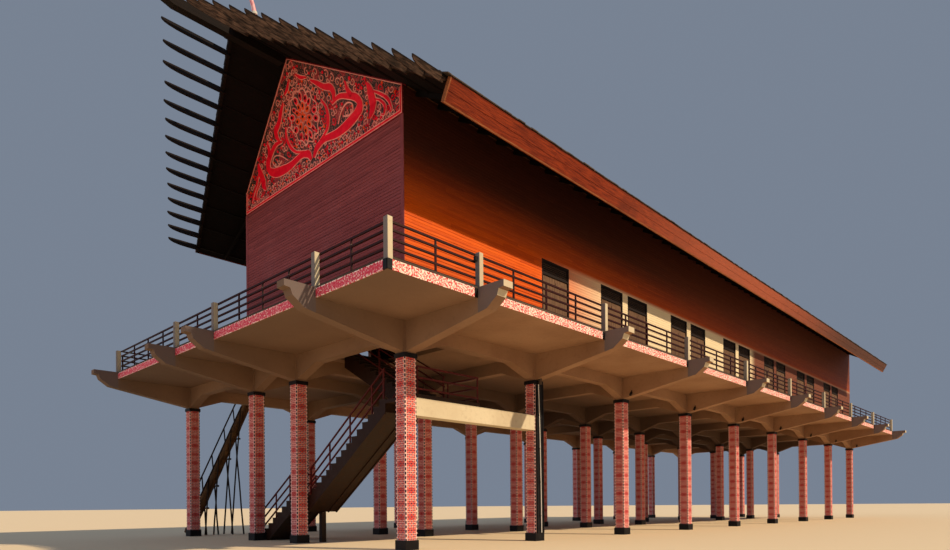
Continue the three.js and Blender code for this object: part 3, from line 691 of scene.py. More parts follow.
def addRod(bm, start, end, radius, sides=12, slot=0):
    start, end = Vector(start), Vector(end)
    along = end - start
    turn = along.to_track_quat("Z", "X").to_matrix().to_4x4()
    addRound(bm, Matrix.Translation((start + end) / 2) @ turn, radius, along.length, sides, slot)


def softenEdges(bm, width):
    bmesh.ops.bevel(
        bm, geom=list(bm.edges), affect="EDGES", offset=width, offset_type="OFFSET",
        segments=1, profile=0.5, material=-1, clamp_overlap=True,
    )


def rowGrid(bm, near, far):
    # A grid one face deep between two rows of points
    count = len(near) - 1
    made = bmesh.ops.create_grid(bm, x_segments=count, y_segments=1, size=1)["verts"]
    for vert in made:
        index = round((vert.co.x + 1) / 2 * count)
        vert.co = Vector(far[index] if vert.co.y > 0 else near[index])
    return made


def addStrip(bm, near, far, thickness, slot=0):
    # A strip between two rows of points, then its thickness
    faces = paintAround(rowGrid(bm, near, far), slot)
    bmesh.ops.solidify(bm, geom=faces, thickness=thickness)


def addPlate(bm, near, far, offset):
    # A plate between two rows of points, grown by an offset into a closed body
    made = rowGrid(bm, near, far)
    grown = bmesh.ops.extrude_face_region(bm, geom=paintAround(made, 0))["geom"]
    fresh = [part for part in grown if isinstance(part, bmesh.types.BMVert)]
    bmesh.ops.translate(bm, vec=offset, verts=fresh)
    return made + fresh


def addTube(bm, points, radii, sides, slot=0):
    # A round section carried along a path and capped at both ends
    points = [Vector(point) for point in points]
    frames = []
    for index, point in enumerate(points):
        ahead = points[min(index + 1, len(points) - 1)] - points[max(index - 1, 0)]
        turn = ahead.to_track_quat("Z", "X").to_matrix().to_4x4()
        frames.append(Matrix.Translation(point) @ turn @ Matrix.Diagonal((radii[index], radii[index], 1, 1)))
    made = bmesh.ops.create_circle(bm, cap_ends=True, segments=sides, radius=1, matrix=frames[0])["verts"]
    face = made[0].link_faces[0]
    face.material_index = slot
    for before, after in zip(frames, frames[1:]):
        grown = bmesh.ops.extrude_face_region(bm, geom=[face])["geom"]
        face = next(part for part in grown if isinstance(part, bmesh.types.BMFace))
        bmesh.ops.transform(bm, matrix=after @ before.inverted(), verts=face.verts)


def smoothPath(points, steps):
    # A curve through the points, with even steps between each two
    points = [Vector(point) for point in points]
    ends = [points[0] * 2 - points[1], *points, points[-1] * 2 - points[-2]]
    path = []
    for a, b, c, d in zip(ends, ends[1:], ends[2:], ends[3:]):
        for step in range(steps):
            t = step / steps
            path.append(0.5 * (2 * b + (c - a) * t + (2 * a - 5 * b + 4 * c - d) * t * t
                               + (3 * b - 3 * c + d - a) * t ** 3))
    return path + [points[-1]]


def addRibbon(bm, points, widths, low, high, slot=0):
    # A flat raised band in x and y along a path, its height from low to high
    near, far = [], []
    for index, point in enumerate(points):
        ahead = points[min(index + 1, len(points) - 1)] - points[max(index - 1, 0)]
        side = Vector((-ahead.y, ahead.x, 0)).normalized() * widths[index] / 2
        near.append((point.x - side.x, point.y - side.y, high))
        far.append((point.x + side.x, point.y + side.y, high))
    addStrip(bm, near, far, high - low, slot)


def finishPiece(name, bm, materials, replaced=()):
    # Puts the mesh in its place in the model, with its finishes, under the root body, and hides the nodes it
    # replaces
    bmesh.ops.recalc_face_normals(bm, faces=bm.faces)
    bmesh.ops.transform(bm, matrix=place, verts=bm.verts)
    mesh = bpy.data.meshes.new(name)
    bm.to_mesh(mesh)
    bm.free()
    for material in materials:
        mesh.materials.append(finishes[material])
    piece = bpy.data.objects.new(name, mesh)
    bpy.context.scene.collection.objects.link(piece)
    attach(piece, "root")
    if replaced:
        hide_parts(*replaced)


def boardSheet(length, height, settings):
    # Lapped boards flat in x and y, each a face of its own, its lower edge lifted towards +z
    bm = bmesh.new()
    columns = max(1, round(length / settings["board"]))
    rows = max(1, round(height / settings["pitch"]))
    bmesh.ops.create_grid(bm, x_segments=columns, y_segments=rows, size=0.5)
    fit = Matrix.Diagonal((length, height, 1, 1)) @ Matrix.Translation((0.5, 0.5, 0))
    bmesh.ops.transform(bm, matrix=fit, verts=bm.verts)
    bmesh.ops.split_edges(bm, edges=bm.edges)
    step = length / columns
    for face in bm.faces:
        middle = face.calc_center_median()
        row = int(middle.y / height * rows)
        shift = ((row * settings["stagger"]) % step) - step / 2
        lift = settings["lift"] * settings["random"].uniform(0.8, 1.2)
        for vert in face.verts:
            if 0.01 < vert.co.x < length - 0.01:
                vert.co.x += shift
            if vert.co.y < middle.y:
                vert.co.z = lift
                vert.co.y -= settings["lap"]
            else:
                vert.co.z = settings["rest"]
    return bm


def cutAway(bm, point, normal, cap=False):
    # Drops what lies on the normal's side of a plane, and may close the cut
    cut = bmesh.ops.bisect_plane(
        bm, geom=[*bm.verts, *bm.edges, *bm.faces], plane_co=point, plane_no=normal, clear_outer=True,
    )
    if cap:
        rim = [part for part in cut["geom_cut"] if isinstance(part, bmesh.types.BMEdge)]
        bmesh.ops.holes_fill(bm, edges=rim)


def cutHole(bm, x0, x1, y0, y1):
    # Cuts the boards near the hole along its four sides, and drops what is inside
    reach = 5
    sides = [((x, 0, 0), (1, 0, 0)) for x in (x0, x1)] + [((0, y, 0), (0, 1, 0)) for y in (y0, y1)]
    for point, normal in sides:
        near = [face for face in bm.faces if x0 - reach < face.calc_center_median().x < x1 + reach]
        edges = dict.fromkeys(edge for face in near for edge in face.edges)
        verts = dict.fromkeys(vert for face in near for vert in face.verts)
        bmesh.ops.bisect_plane(bm, geom=[*near, *edges, *verts], plane_co=point, plane_no=normal)
    inside = [
        face for face in bm.faces
        if x0 < face.calc_center_median().x < x1 and y0 < face.calc_center_median().y < y1
    ]
    bmesh.ops.delete(bm, geom=inside, context="FACES")


def standing(corner, along, up=(0, 0, 1)):
    # Turns a flat sheet upright: x runs along, y goes up, z faces out
    along, up = Vector(along), Vector(up)
    turn = Matrix((along, up, along.cross(up))).transposed().to_4x4()
    return Matrix.Translation(corner) @ turn


# Siding
boards = {
    "pitch": siding["pitch"],
    "board": siding["board"],
    "stagger": siding["stagger"],
    "lift": 0.022,
    "rest": 0.009,
    "lap": 0.008,
    "thickness": 0.008,
    "underEave": 0.05,
    "random": random.Random(7),
}
# The pairs stand at even spaces. The single door is on the right side, the open doorway on the left
doors = {
    "width": 1.7,
    "top": 10.42,
    "pairFirst": 12.4,
    "pairSpacing": 6.1,
    "pairs": 6,
    "between": 0.42,
    "single": 7.4,
    "open": 5.05,
}


def doorCentres():
    # The places of the doors that stand in pairs
    offset = (doors["width"] + doors["between"]) / 2
    middles = [doors["pairFirst"] + k * doors["pairSpacing"] for k in range(doors["pairs"])]
    return [middle + side * offset for middle in middles for side in (-1, 1)]


def clad(name, corner, along, length, height, holes, material):
    # Siding on one wall, with its door holes
    bm = boardSheet(length, height, boards)
    for x0, x1, y1 in holes:
        cutHole(bm, x0, x1, -0.5, y1)
    bmesh.ops.solidify(bm, geom=bm.faces, thickness=boards["thickness"])
    bmesh.ops.transform(bm, matrix=standing(corner, along), verts=bm.verts)
    finishPiece(name, bm, [material])


def cladHouse():
    foot, end = house["deckTop"] + house["skirting"], house["end"]
    half, high = doors["width"] / 2, doors["top"] - foot
    tall = house["plate"] - foot - boards["underEave"]
    rightHoles = [(y - half, y + half, high) for y in [doors["single"], *doorCentres()]]
    leftHoles = [(end - y - half, end - y + half, high) for y in [doors["open"], *doorCentres()]]
    low = house["panelFoot"] - foot
    clad("boards_front", (house["left"], 0, foot), (1, 0, 0), 2 * halfWidth, low, [], "frontSiding")
    clad("boards_right", (house["right"], 0, foot), (0, 1, 0), end, tall, rightHoles, "sideSiding")
    clad("boards_left", (house["left"], end, foot), (0, -1, 0), end, tall, leftHoles, "sideSiding")


cladHouse()
print("siding done")


# Roof
def roofSheet(name, side, run):
    # One slope of shingles, laid flat, cut askew along the verge and then leaned up to the ridge
    chance = random.Random(11 + side)
    settings = dict(shingles, pitch=shingles["exposure"], board=shingles["width"], random=chance)
    length = house["end"] - vergeY(0)
    rise = math.hypot(run, run * house["roofSlope"])
    bm = boardSheet(length, rise, settings)
    for face in bm.faces:
        jitter = chance.uniform(0, shingles["jitter"])
        for vert in face.verts:
            vert.co.z += jitter
    share = house["vergeRake"] * run
    cutAway(bm, (0 if side > 0 else length, rise, 0), (-side * rise, -share, 0))
    bmesh.ops.solidify(bm, geom=bm.faces, thickness=shingles["thickness"])
    up = Vector((-side * run, 0, run * house["roofSlope"])).normalized()
    start = house["vergeAtRidge"] if side > 0 else house["end"]
    eave = (house["ridge"] + side * run, start, roofTop(run))
    bmesh.ops.transform(bm, matrix=standing(eave, (0, side, 0), up), verts=bm.verts)
    finishPiece(name, bm, ["shingle"])


roofSheet("shingles_right", 1, house["runRight"] + shingles["overRight"])
roofSheet("shingles_left", -1, house["runLeft"] + shingles["overLeft"])
print("shingles done")

ridge = {
    "wide": 0.44,
    "lift": 0.158,
    "crease": 0.03,
    "thickness": 0.03,
    "count": 80,
    "lap": 0.06,
    "tip": 0.03,
}


def ridgeTiles():
    # Bent tiles over the ridge, each over the one behind it
    bm = bmesh.new()
    count = ridge["count"]
    step = (house["end"] - house["vergeAtRidge"]) / count
    top = house["ridgeUnder"] + ridge["lift"]
    across = [ridge["wide"] * share for share in (-1, -0.5, 0, 0.5, 1)]
    for index in range(count):
        y0 = house["vergeAtRidge"] + index * step
        y1 = y0 + step + (ridge["lap"] if index < count - 1 else 0)
        near, far = [
            [(house["ridge"] + x, y, top + extra - abs(x) * house["roofSlope"] - ridge["crease"] * (x == 0))
             for x in across]
            for y, extra in ((y0, ridge["tip"]), (y1, 0))
        ]
        addStrip(bm, near, far, ridge["thickness"])
    finishPiece("ridge_tiles", bm, ["shingle"])


ridgeTiles()

verge = {
    "count": 14,
    "thickness": 0.058,
    "top": 0.06,
    "notch": -0.022,
    "tipAtRidge": -5.03,
    "prow": [(0, 0.05), (0.02, 0.3), (0.08, 0.55), (0.2, 0.76), (0.42, 0.93), (0.75, 1)],
    "band": 0.118,
    "bandDepth": 0.078,
    "under": 0.006,
    "start": 0.136,
    "joint": 0.005,
    "clear": 0.004,
    "tailClear": 0.04,
    "shoulder": 0.008,
    "uneven": {"front": 0.012, "lift": 0.006, "tip": 0.05, "top": 0.006, "foot": 0.008},
    "right": {"first": 0.68, "spacing": 0.52, "rake": 0.42, "end": 7.455, "bottom": -0.15, "finish": "verge"},
    "left": {"first": 0.68, "spacing": 0.54, "rake": 0.4, "end": 7.89, "bottom": -0.208, "finish": "spike"},
}


def vergeBoards(name, side, spikes):
    # Planks on edge, square to the roof, that reach forward to an upswept point, and the board between them
    bm = bmesh.new()
    chance = random.Random(31 + side)
    clear, uneven, half = verge["clear"], verge["uneven"], verge["thickness"] / 2

    def slope(across, y, lift):
        return (house["ridge"] + side * across, y, house["ridgeUnder"] + lift - house["roofSlope"] * across)

    inner = verge["start"]
    for k in range(verge["count"] + 1):
        middle = spikes["first"] + k * spikes["spacing"]
        stop = min(middle, spikes["end"])
        front = clear + chance.uniform(0, uneven["front"])
        lift = -verge["under"] - chance.uniform(0, uneven["lift"])
        near, far = [
            [slope(across, vergeY(across) + y, lift) for y in (front, verge["band"])]
            for across in (inner, stop)
        ]
        addPlate(bm, near, far, (0, 0, -verge["bandDepth"]))
        inner = middle + verge["joint"]
        if k == verge["count"]:
            break
        tip = verge["tipAtRidge"] + spikes["rake"] * middle + chance.uniform(0, uneven["tip"])
        front = vergeY(middle - verge["thickness"]) - clear
        tail = vergeY(middle) + verge["band"] - verge["tailClear"]
        top = verge["top"] - chance.uniform(0, uneven["top"])
        bottom = spikes["bottom"] + chance.uniform(0, uneven["foot"])
        line = [(tip + y, top, top + (bottom - top) * share) for y, share in verge["prow"]]
        notch = verge["notch"]
        line += [(front, top, bottom), (front + verge["shoulder"], notch, bottom), (tail, notch, bottom)]
        lower = [(-half, y, low) for y, high, low in line]
        upper = [(-half, y, high) for y, high, low in line]
        made = addPlate(bm, lower, upper, (verge["thickness"], 0, 0))
        turned = Matrix.Translation(slope(middle, 0, 0)) @ Matrix.Rotation(roofAngle * side, 4, "Y")
        bmesh.ops.transform(bm, matrix=turned, verts=made)
    finishPiece(name, bm, [spikes["finish"]], [name.replace("boards", "planks")])


vergeBoards("verge_boards_right", 1, verge["right"])
vergeBoards("verge_boards_left", -1, verge["left"])

fascia = {
    "depth": 0.6,
    "thickness": 0.08,
    "start": -0.67,
    "board": 4.6,
    "leftBoard": 3.22,
    "split": 0.31,
    "joint": 0.012,
    "gap": 0.006,
    "clear": 0.004,
    "topClear": 0.005,
    "face": 0.02,
    "uneven": 0.003,
    "leftFace": 0.012,
    "leftUneven": 0.004,
    "leftIn": 0.002,
    "leftOver": 0.01,
    "trim": 0.03,
    "trimDrop": 0.012,
    "trimFace": 0.028,
    "trimStart": 0.012,
    "endStart": 0.014,
    "endIn": 0.01,
    "shallow": 0.08,
    "shallowThickness": 0.04,
}


def boardRun(start, length):
    # The two ends of each board along an eave
    places, y = [], start
    while y < house["end"] - 0.01:
        stop = min(y + length, house["end"] - fascia["clear"])
        places.append((y, stop - fascia["gap"]))
        y = stop
    return places


def fasciaBoards():
    # Two rows of boards on the deep tilted board at the right eave, made upright and then leaned back
    bm = bmesh.new()
    chance = random.Random(6)
    clear, out = fascia["clear"], fascia["thickness"]
    start, end, face = fascia["start"], house["end"] - clear, out + fascia["trimFace"]
    top = house["roofThickness"] * math.cos(roofAngle)
    foot = top - fascia["depth"]
    trim, split = foot + fascia["trim"], top - fascia["split"]
    for y0, y1 in boardRun(start, fascia["board"]):
        for z0, z1 in ((split, top - fascia["topClear"]), (trim, split - fascia["joint"])):
            proud = out + fascia["face"] + chance.uniform(0, fascia["uneven"])
            addBox(bm, out - clear, proud, y0, y1, z0, z1)
    low, before = foot - fascia["trimDrop"], start - fascia["trimStart"]
    addBox(bm, -clear, face, before, end, low, trim - clear, 1)
    addBox(bm, -fascia["endIn"], face, start - fascia["endStart"], start + fascia["trim"], trim, top, 1)
    run = house["runRight"]
    eave = (house["ridge"] + run, 0, house["ridgeUnder"] - house["roofSlope"] * run)
    lean = Matrix.Translation(eave) @ Matrix.Rotation(roofAngle, 4, "Y")
    bmesh.ops.transform(bm, matrix=lean, verts=bm.verts)
    finishPiece("fascia_boards_right", bm, ["eave", "eaveTrim"])


def eaveStrip():
    # Short lengths of thin board on the shallow left eave
    bm = bmesh.new()
    chance = random.Random(4)
    outer = house["ridge"] - house["runLeft"] - fascia["shallowThickness"]
    top = roofTop(house["runLeft"])
    low, high = top - fascia["shallow"] - fascia["leftOver"], top - fascia["clear"]
    for y0, y1 in boardRun(vergeY(house["runLeft"]), fascia["leftBoard"]):
        proud = outer - fascia["leftFace"] - chance.uniform(0, fascia["leftUneven"])
        addBox(bm, proud, outer + fascia["leftIn"], y0, y1, low, high)
    finishPiece("fascia_boards_left", bm, ["dark"])


fasciaBoards()
eaveStrip()

rafters = {
    "first": 0.5,
    "spacing": 0.9,
    "width": 0.08,
    "depth": 0.14,
    "clear": 0.012,
    "wallClear": 0.04,
    "short": 0.14,
    "battens": 9,
    "battenFirst": 0.35,
    "battenSpan": 0.6,
    "battenWidth": 0.064,
    "battenDepth": 0.024,
    "battenDrop": 0.022,
    "battenFront": 0.01,
    "battenPast": 0.12,
    "battenEnd": 0.05,
}


def overhangTimbers(name, side, wall, run):
    # Rafters under one eave, from the wall to the eave board, and thin battens under the front overhang
    bm = bmesh.new()
    inner = abs(wall - house["ridge"]) + rafters["wallClear"]

    def under(across, y, drop):
        return (house["ridge"] + side * across, y, house["ridgeUnder"] - house["roofSlope"] * across - drop)

    drop = rafters["depth"] / 2 + rafters["clear"]
    for index in range(int((house["end"] - rafters["first"]) / rafters["spacing"])):
        y = rafters["first"] + index * rafters["spacing"]
        outer = under(run - rafters["short"], y, drop)
        addBar(bm, under(inner, y, drop), outer, rafters["width"], rafters["depth"])
    drop = rafters["battenDrop"]
    for index in range(rafters["battens"]):
        across = rafters["battenFirst"] + index * (run - rafters["battenSpan"]) / (rafters["battens"] - 1)
        front = under(across, vergeY(across) + verge["band"] + rafters["battenFront"], drop)
        back = house["end"] - rafters["battenEnd"]
        if across < inner:
            back = -house["lean"] * (1 - across / inner) - rafters["battenPast"]
        addBar(bm, front, under(across, back, drop), rafters["battenWidth"], rafters["battenDepth"])
    finishPiece(name, bm, ["dark"])


overhangTimbers("overhang_timbers_right", 1, house["right"], house["runRight"])
overhangTimbers("overhang_timbers_left", -1, house["left"], house["runLeft"])

horn = {
    "y": -2.18,
    "foot": 16.56,
    "path": [(0, 0), (0.05, 0.65), (-0.15, 1.25), (-0.6, 1.74)],
    "radius": 0.1,
    "tip": 0.028,
    "sides": 14,
    "bands": (0.0, 0.16, 0.34),
    "bandSize": 1.25,
}


def ridgeHorn():
    # A bent tapering horn with pale bands
    bm = bmesh.new()
    points = smoothPath([(house["ridge"], horn["y"] + y, horn["foot"] + z) for y, z in horn["path"]], 8)
    count = len(points) - 1
    radii = [horn["radius"] + (horn["tip"] - horn["radius"]) * (index / count) for index in range(count + 1)]
    addTube(bm, points, radii, horn["sides"])
    for share in horn["bands"]:
        index = int(share * count)
        addTube(bm, points[index:index + 2], [radii[index] * horn["bandSize"]] * 2, horn["sides"], 1)
    finishPiece("horn", bm, ["horn", "white"], ["ridge_horn"])


ridgeHorn()
print("roof edges done")

# Gable ornament, drawn flat in across and up, then bent on to the panel
ornament = {
    "rise": house["ridgeUnder"] - house["plate"],
    "base": 0.003,
    # From, to, height and paint of each line; the last two leave out the two sloping edges
    "border": [
        (0.0, 0.03, 0.02, 3), (0.03, 0.055, 0.032, 1), (0.055, 0.125, 0.02, 0), (0.125, 0.15, 0.032, 1),
    ],
    # Centre lines of the broad scrolls on the right half, each point with the scroll's width there
    "scrolls": [
        [(0.08, -0.42, 0.1), (0.28, -0.16, 0.24), (0.75, -0.05, 0.2), (1.47, -0.14, 0.28), (2.1, -0.1, 0.34),
         (2.62, 0.02, 0.3), (2.87, 0.22, 0.24), (2.76, 0.46, 0.22), (2.4, 0.64, 0.16), (2.0, 0.78, 0.12),
         (1.58, 0.74, 0.06)],
        [(0.86, 1.74, 0.04), (1.16, 1.52, 0.14), (1.44, 1.3, 0.16), (1.74, 1.16, 0.2), (1.8, 0.96, 0.18),
         (1.7, 0.8, 0.06)],
        [(0.2, 2.2, 0.03), (0.42, 2.0, 0.1), (0.68, 1.9, 0.04)],
        [(3.4, 0.62, 0.06), (3.46, 0.41, 0.22), (3.45, 0.1, 0.3), (3.4, -0.2, 0.24), (3.24, -0.4, 0.06)],
        [(2.48, 1.02, 0.05), (2.48, 0.8, 0.14), (2.6, 0.56, 0.18)],
        [(3.56, 0.32, 0.04), (3.9, 0.08, 0.08), (4.2, -0.22, 0.09), (4.36, -0.55, 0.04)],
        [(3.56, 0.1, 0.04), (3.82, -0.08, 0.06), (4.02, -0.32, 0.08), (3.98, -0.56, 0.05),
         (3.84, -0.5, 0.03)],
        [(0.5, 0.02, 0.04), (0.95, 0.16, 0.08), (1.2, 0.42, 0.12), (1.26, 0.75, 0.1), (1.12, 1.05, 0.04)],
    ],
    "loop": [(1.6, 0.12), (1.9, 0.36), (2.25, 0.48), (2.5, 0.38), (2.46, 0.2), (2.2, 0.14), (1.95, 0.22)],
    "loopWidth": 0.04,
    "rosette": (0.0, 0.95),
    "outline": 0.05,
    "relief": (0.022, 0.04),
    "taper": 0.9,
}
curls = {
    "first": 0.1,
    "last": 4.65,
    "lowest": -0.66,
    "grid": 0.225,
    "jitter": 0.03,
    "size": 0.13,
    "turns": 1.1,
    "steps": 9,
    "width": (0.03, 0.018),
    "high": 0.02,
    "room": 0.06,
    "rosetteRoom": 0.74,
    "edgeRoom": 0.2,
    "topRoom": 0.15,
    "budSides": 7,
    "budShare": 0.75,
    "budSize": (0.035, 0.062),
    "budAway": 0.1,
}
# How many petals, how far out, their size, paint and height, ring by ring
petals = (
    (13, 0.6, 0.14, 1, 0.02), (13, 0.6, 0.11, 0, 0.032), (13, 0.62, 0.055, 3, 0.042),
    (9, 0.36, 0.15, 1, 0.045), (9, 0.36, 0.125, 2, 0.056), (9, 0.38, 0.05, 3, 0.066),
    (6, 0.11, 0.075, 1, 0.06), (6, 0.11, 0.058, 2, 0.072),
)
petalShape = {"turn": 0.1, "reach": (0.86, 1.12), "long": 1.15, "wide": (0.6, 0.9)}
heart = {"radius": 0.05, "high": 0.08, "sides": 12}
garland = {"radius": 0.79, "wave": 0.045, "waveSteps": 8, "steps": 96, "width": 0.035, "high": 0.024}
panelLength = math.hypot(house["lean"], ornament["rise"])


def bendOn(bm):
    # Folds the flat drawing at the wall plate and leans its upper part forward with the panel
    bmesh.ops.bisect_plane(bm, geom=[*bm.verts, *bm.edges, *bm.faces], plane_co=(0, 0, 0), plane_no=(0, 1, 0))
    for vert in bm.verts:
        across, up, lift = vert.co
        lift += ornament["base"]
        if up < 0:
            vert.co = (house["ridge"] + across, -lift, house["plate"] + up)
        else:
            vert.co = (
                house["ridge"] + across,
                -(house["lean"] * up + lift * ornament["rise"]) / panelLength,
                house["plate"] + (ornament["rise"] * up - lift * house["lean"]) / panelLength,
            )


def panelEdge(across):
    # How far up the panel reaches at a distance from its middle
    return panelLength * (1 - abs(across) / halfWidth)


def insetOutline(outline, distance):
    # The outline moved in by the same distance on every side, and closed
    moved = []
    for index, corner in enumerate(outline):
        here = Vector(corner)
        before = (here - Vector(outline[index - 1])).normalized()
        after = (Vector(outline[(index + 1) % len(outline)]) - here).normalized()
        inward = Vector((-before.y - after.y, before.x + after.x)).normalized()
        moved.append(here + inward * distance / inward.dot(Vector((-before.y, before.x))))
    return moved + moved[:1]


def panelBorder():
    # Coloured lines along the edges of the panel
    bm = bmesh.new()
    foot = house["panelFoot"] - house["plate"]
    outline = [(-halfWidth, foot), (halfWidth, foot), (halfWidth, 0), (0, panelLength), (-halfWidth, 0)]
    sloping = (2, 3)
    for row, (start, stop, high, slot) in enumerate(ornament["border"]):
        outer, inner = insetOutline(outline, start + 0.004), insetOutline(outline, stop)
        for index, (a, b, c, d) in enumerate(zip(outer, outer[1:], inner, inner[1:])):
            if row < 2 or index not in sloping:
                addStrip(bm, [(*a, high), (*b, high)], [(*c, high), (*d, high)], high, slot)
    bendOn(bm)
    finishPiece("panel_border", bm, ["red", "pink", "orange", "maroon"])


def spiral(centre, radius, start, turns):
    # A curl that winds in to a fifth of its radius
    points = []
    for index in range(curls["steps"] + 1):
        share = index / curls["steps"]
        angle = start + turns * 2 * math.pi * share
        reach = radius * (1 - share * 0.8)
        points.append(Vector((centre.x + reach * math.cos(angle), centre.y + reach * math.sin(angle), 0)))
    return points


def mirrored(points):
    return [Vector((-point.x, point.y, point.z)) for point in points]


def broadScrolls(bm):
    # Scrolls with a pale outline on both halves; hands back the places that they take
    taken = []
    low, high = ornament["relief"]
    for points in ornament["scrolls"]:
        path = smoothPath(points, 4)
        taken += path
        for line in (path, mirrored(path)):
            addRibbon(bm, line, [point.z + ornament["outline"] for point in line], 0, low, 1)
            addRibbon(bm, line, [point.z for point in line], low, high)
    loop = smoothPath([(x, y, 0) for x, y in ornament["loop"]], 4)
    for line in (loop, mirrored(loop)):
        addRibbon(bm, line, [ornament["loopWidth"]] * len(line), 0, low, 1)
    return taken + loop


def addCurl(bm, here, size, chance):
    # A small curl on both halves, often with a bud beside it
    curl = spiral(here, size, chance.uniform(0, 6.28), curls["turns"] * chance.choice((-1, 1)))
    wide, narrow = curls["width"]
    widths = [wide - (wide - narrow) * index / (len(curl) - 1) for index in range(len(curl))]
    slot = chance.choice((1, 1, 1, 1, 1, 0))
    for line in (curl, mirrored(curl)):
        addRibbon(bm, line, widths, 0, curls["high"], slot)
    if chance.random() < curls["budShare"]:
        radius, slot = chance.uniform(*curls["budSize"]), chance.choice((0, 0, 2))
        away, high = curls["budAway"], curls["high"]
        for way in (-1, 1):
            bud = Matrix.Translation((way * (here.x + away), here.y + away, high / 2))
            addRound(bm, bud, radius, high, curls["budSides"], slot, ornament["taper"])


def panelScrolls():
    # Broad scrolls, and small curls and buds in all the room between them
    bm = bmesh.new()
    taken = broadScrolls(bm)
    chance = random.Random(21)
    rosette = Vector((*ornament["rosette"], 0))
    jitter, grid = curls["jitter"], curls["grid"]
    across = curls["first"]
    while across < curls["last"]:
        up = curls["lowest"]
        while up < panelEdge(across) - curls["topRoom"]:
            here = Vector((across + chance.uniform(-jitter, jitter), up + chance.uniform(-jitter, jitter), 0))
            clear = min((here - Vector((point.x, point.y, 0))).length - point.z / 2 for point in taken)
            inside = here.y < panelEdge(here.x) - curls["edgeRoom"]
            if clear > curls["room"] and (here - rosette).length > curls["rosetteRoom"] and inside:
                addCurl(bm, here, min(curls["size"], clear), chance)
            up += grid
        across += grid
    bendOn(bm)
    finishPiece("panel_scrolls", bm, ["red", "pink", "orange"])


def panelRosette():
    # Rings of petals, each a pale outline, a bright face and a dark heart, in a wavy garland
    bm = bmesh.new()
    across, up = ornament["rosette"]

    def around(angle, reach, high=0.0):
        return Vector((across + reach * math.cos(angle), up + reach * math.sin(angle), high))

    for count, reach, size, slot, high in petals:
        chance = random.Random(count)
        for index in range(count):
            angle = (index + 0.5 * (count == 9)) * 2 * math.pi / count
            angle += chance.uniform(-petalShape["turn"], petalShape["turn"])
            away = reach * chance.uniform(*petalShape["reach"])
            stretch = Matrix.Diagonal((petalShape["long"], chance.uniform(*petalShape["wide"]), 1, 1))
            shape = Matrix.Rotation(angle, 4, "Z") @ stretch
            petal = Matrix.Translation(around(angle, away, high / 2)) @ shape
            addRound(bm, petal, size, high, 10, slot, ornament["taper"])
    middle = Matrix.Translation(around(0, 0, heart["high"] / 2))
    addRound(bm, middle, heart["radius"], heart["high"], heart["sides"], 3, ornament["taper"])
    ring = []
    for index in range(garland["steps"] + 1):
        wave = garland["wave"] * math.sin(index * 2 * math.pi / garland["waveSteps"])
        ring.append(around(index * 2 * math.pi / garland["steps"], garland["radius"] + wave))
    addRibbon(bm, ring, [garland["width"]] * len(ring), 0, garland["high"], 1)
    bendOn(bm)
    finishPiece("panel_rosette", bm, ["red", "pink", "orange", "dark"])


panelBorder()
panelScrolls()
panelRosette()
print("gable ornament done")

# Doors
leaf = {
    "face": 0.06,
    "foot": 0.07,
    "jamb": 0.07,
    "jambOut": 0.075,
    "sill": 9.86,
    "sillHigh": 0.06,
    "sillOut": 0.07,
    "louvres": 6,
    "louvreHalf": 0.022,
    "louvreOut": 0.03,
    "clear": 0.01,
    "planks": 5,
    "gap": 0.008,
    "thickness": 0.026,
    "railUps": (0.22, 1.35),
    "topRailDown": 0.28,
    "railFrom": 0.03,
    "railHigh": 0.12,
    "railOut": 0.018,
    "handle": (0.06, 0.09, 1.1, 1.3),
    "handleOut": 0.045,
}


def doorRow(name, side, wall, centres):
    # Frames with a louvred transom, and double leaves of planks with rails and handles
    bm = bmesh.new()
    chance = random.Random(3)
    half, top, foot = doors["width"] / 2, doors["top"], house["deckTop"] + leaf["foot"]
    jamb, sill, thick, clear = leaf["jamb"], leaf["sill"], leaf["thickness"], leaf["clear"]
    louvreFoot = sill + leaf["sillHigh"]
    opening, width = half - jamb, half - jamb - clear
    inner = wall - side * leaf["face"]

    def block(y0, y1, z0, z1, low, high, slot=0):
        # A box between two depths in front of the wall, on either side of the house
        x0, x1 = sorted((inner + side * low, inner + side * high))
        addBox(bm, x0, x1, min(y0, y1), max(y0, y1), z0, z1, slot)

    for y in centres:
        for edge in (-1, 1):
            block(y + edge * half, y + edge * opening, foot, top, 0.001, leaf["jambOut"], 1)
        block(y - opening, y + opening, top - jamb, top, 0.001, leaf["jambOut"], 1)
        block(y - opening, y + opening, sill, louvreFoot, 0.001, leaf["sillOut"], 1)
        for index in range(leaf["louvres"]):
            z = louvreFoot + (top - jamb - louvreFoot) * (index + 0.5) / leaf["louvres"]
            low, high = z - leaf["louvreHalf"], z + leaf["louvreHalf"]
            block(y - opening, y + opening, low, high, 0.001, leaf["louvreOut"], 1)
        for edge in (-1, 1):
            for index in range(leaf["planks"]):
                near = y + edge * (clear + index * width / leaf["planks"])
                far = y + edge * (clear + (index + 1) * width / leaf["planks"] - leaf["gap"])
                block(near, far, foot, sill - clear, 0.001, thick + chance.uniform(0, 0.004))
            near, far = y + edge * leaf["railFrom"], y + edge * (width - clear)
            for z in [*(foot + up for up in leaf["railUps"]), sill - leaf["topRailDown"]]:
                block(near, far, z, z + leaf["railHigh"], thick, thick + leaf["railOut"])
            near, far, low, high = leaf["handle"]
            out = thick + leaf["handleOut"]
            block(y + edge * near, y + edge * far, foot + low, foot + high, thick, out, 2)
    finishPiece(name, bm, ["door", "transom", "black"])


doorRow("door_planks_right", 1, house["right"], [doors["single"], *doorCentres()])
doorRow("door_planks_left", -1, house["left"], doorCentres())
print("doors done")

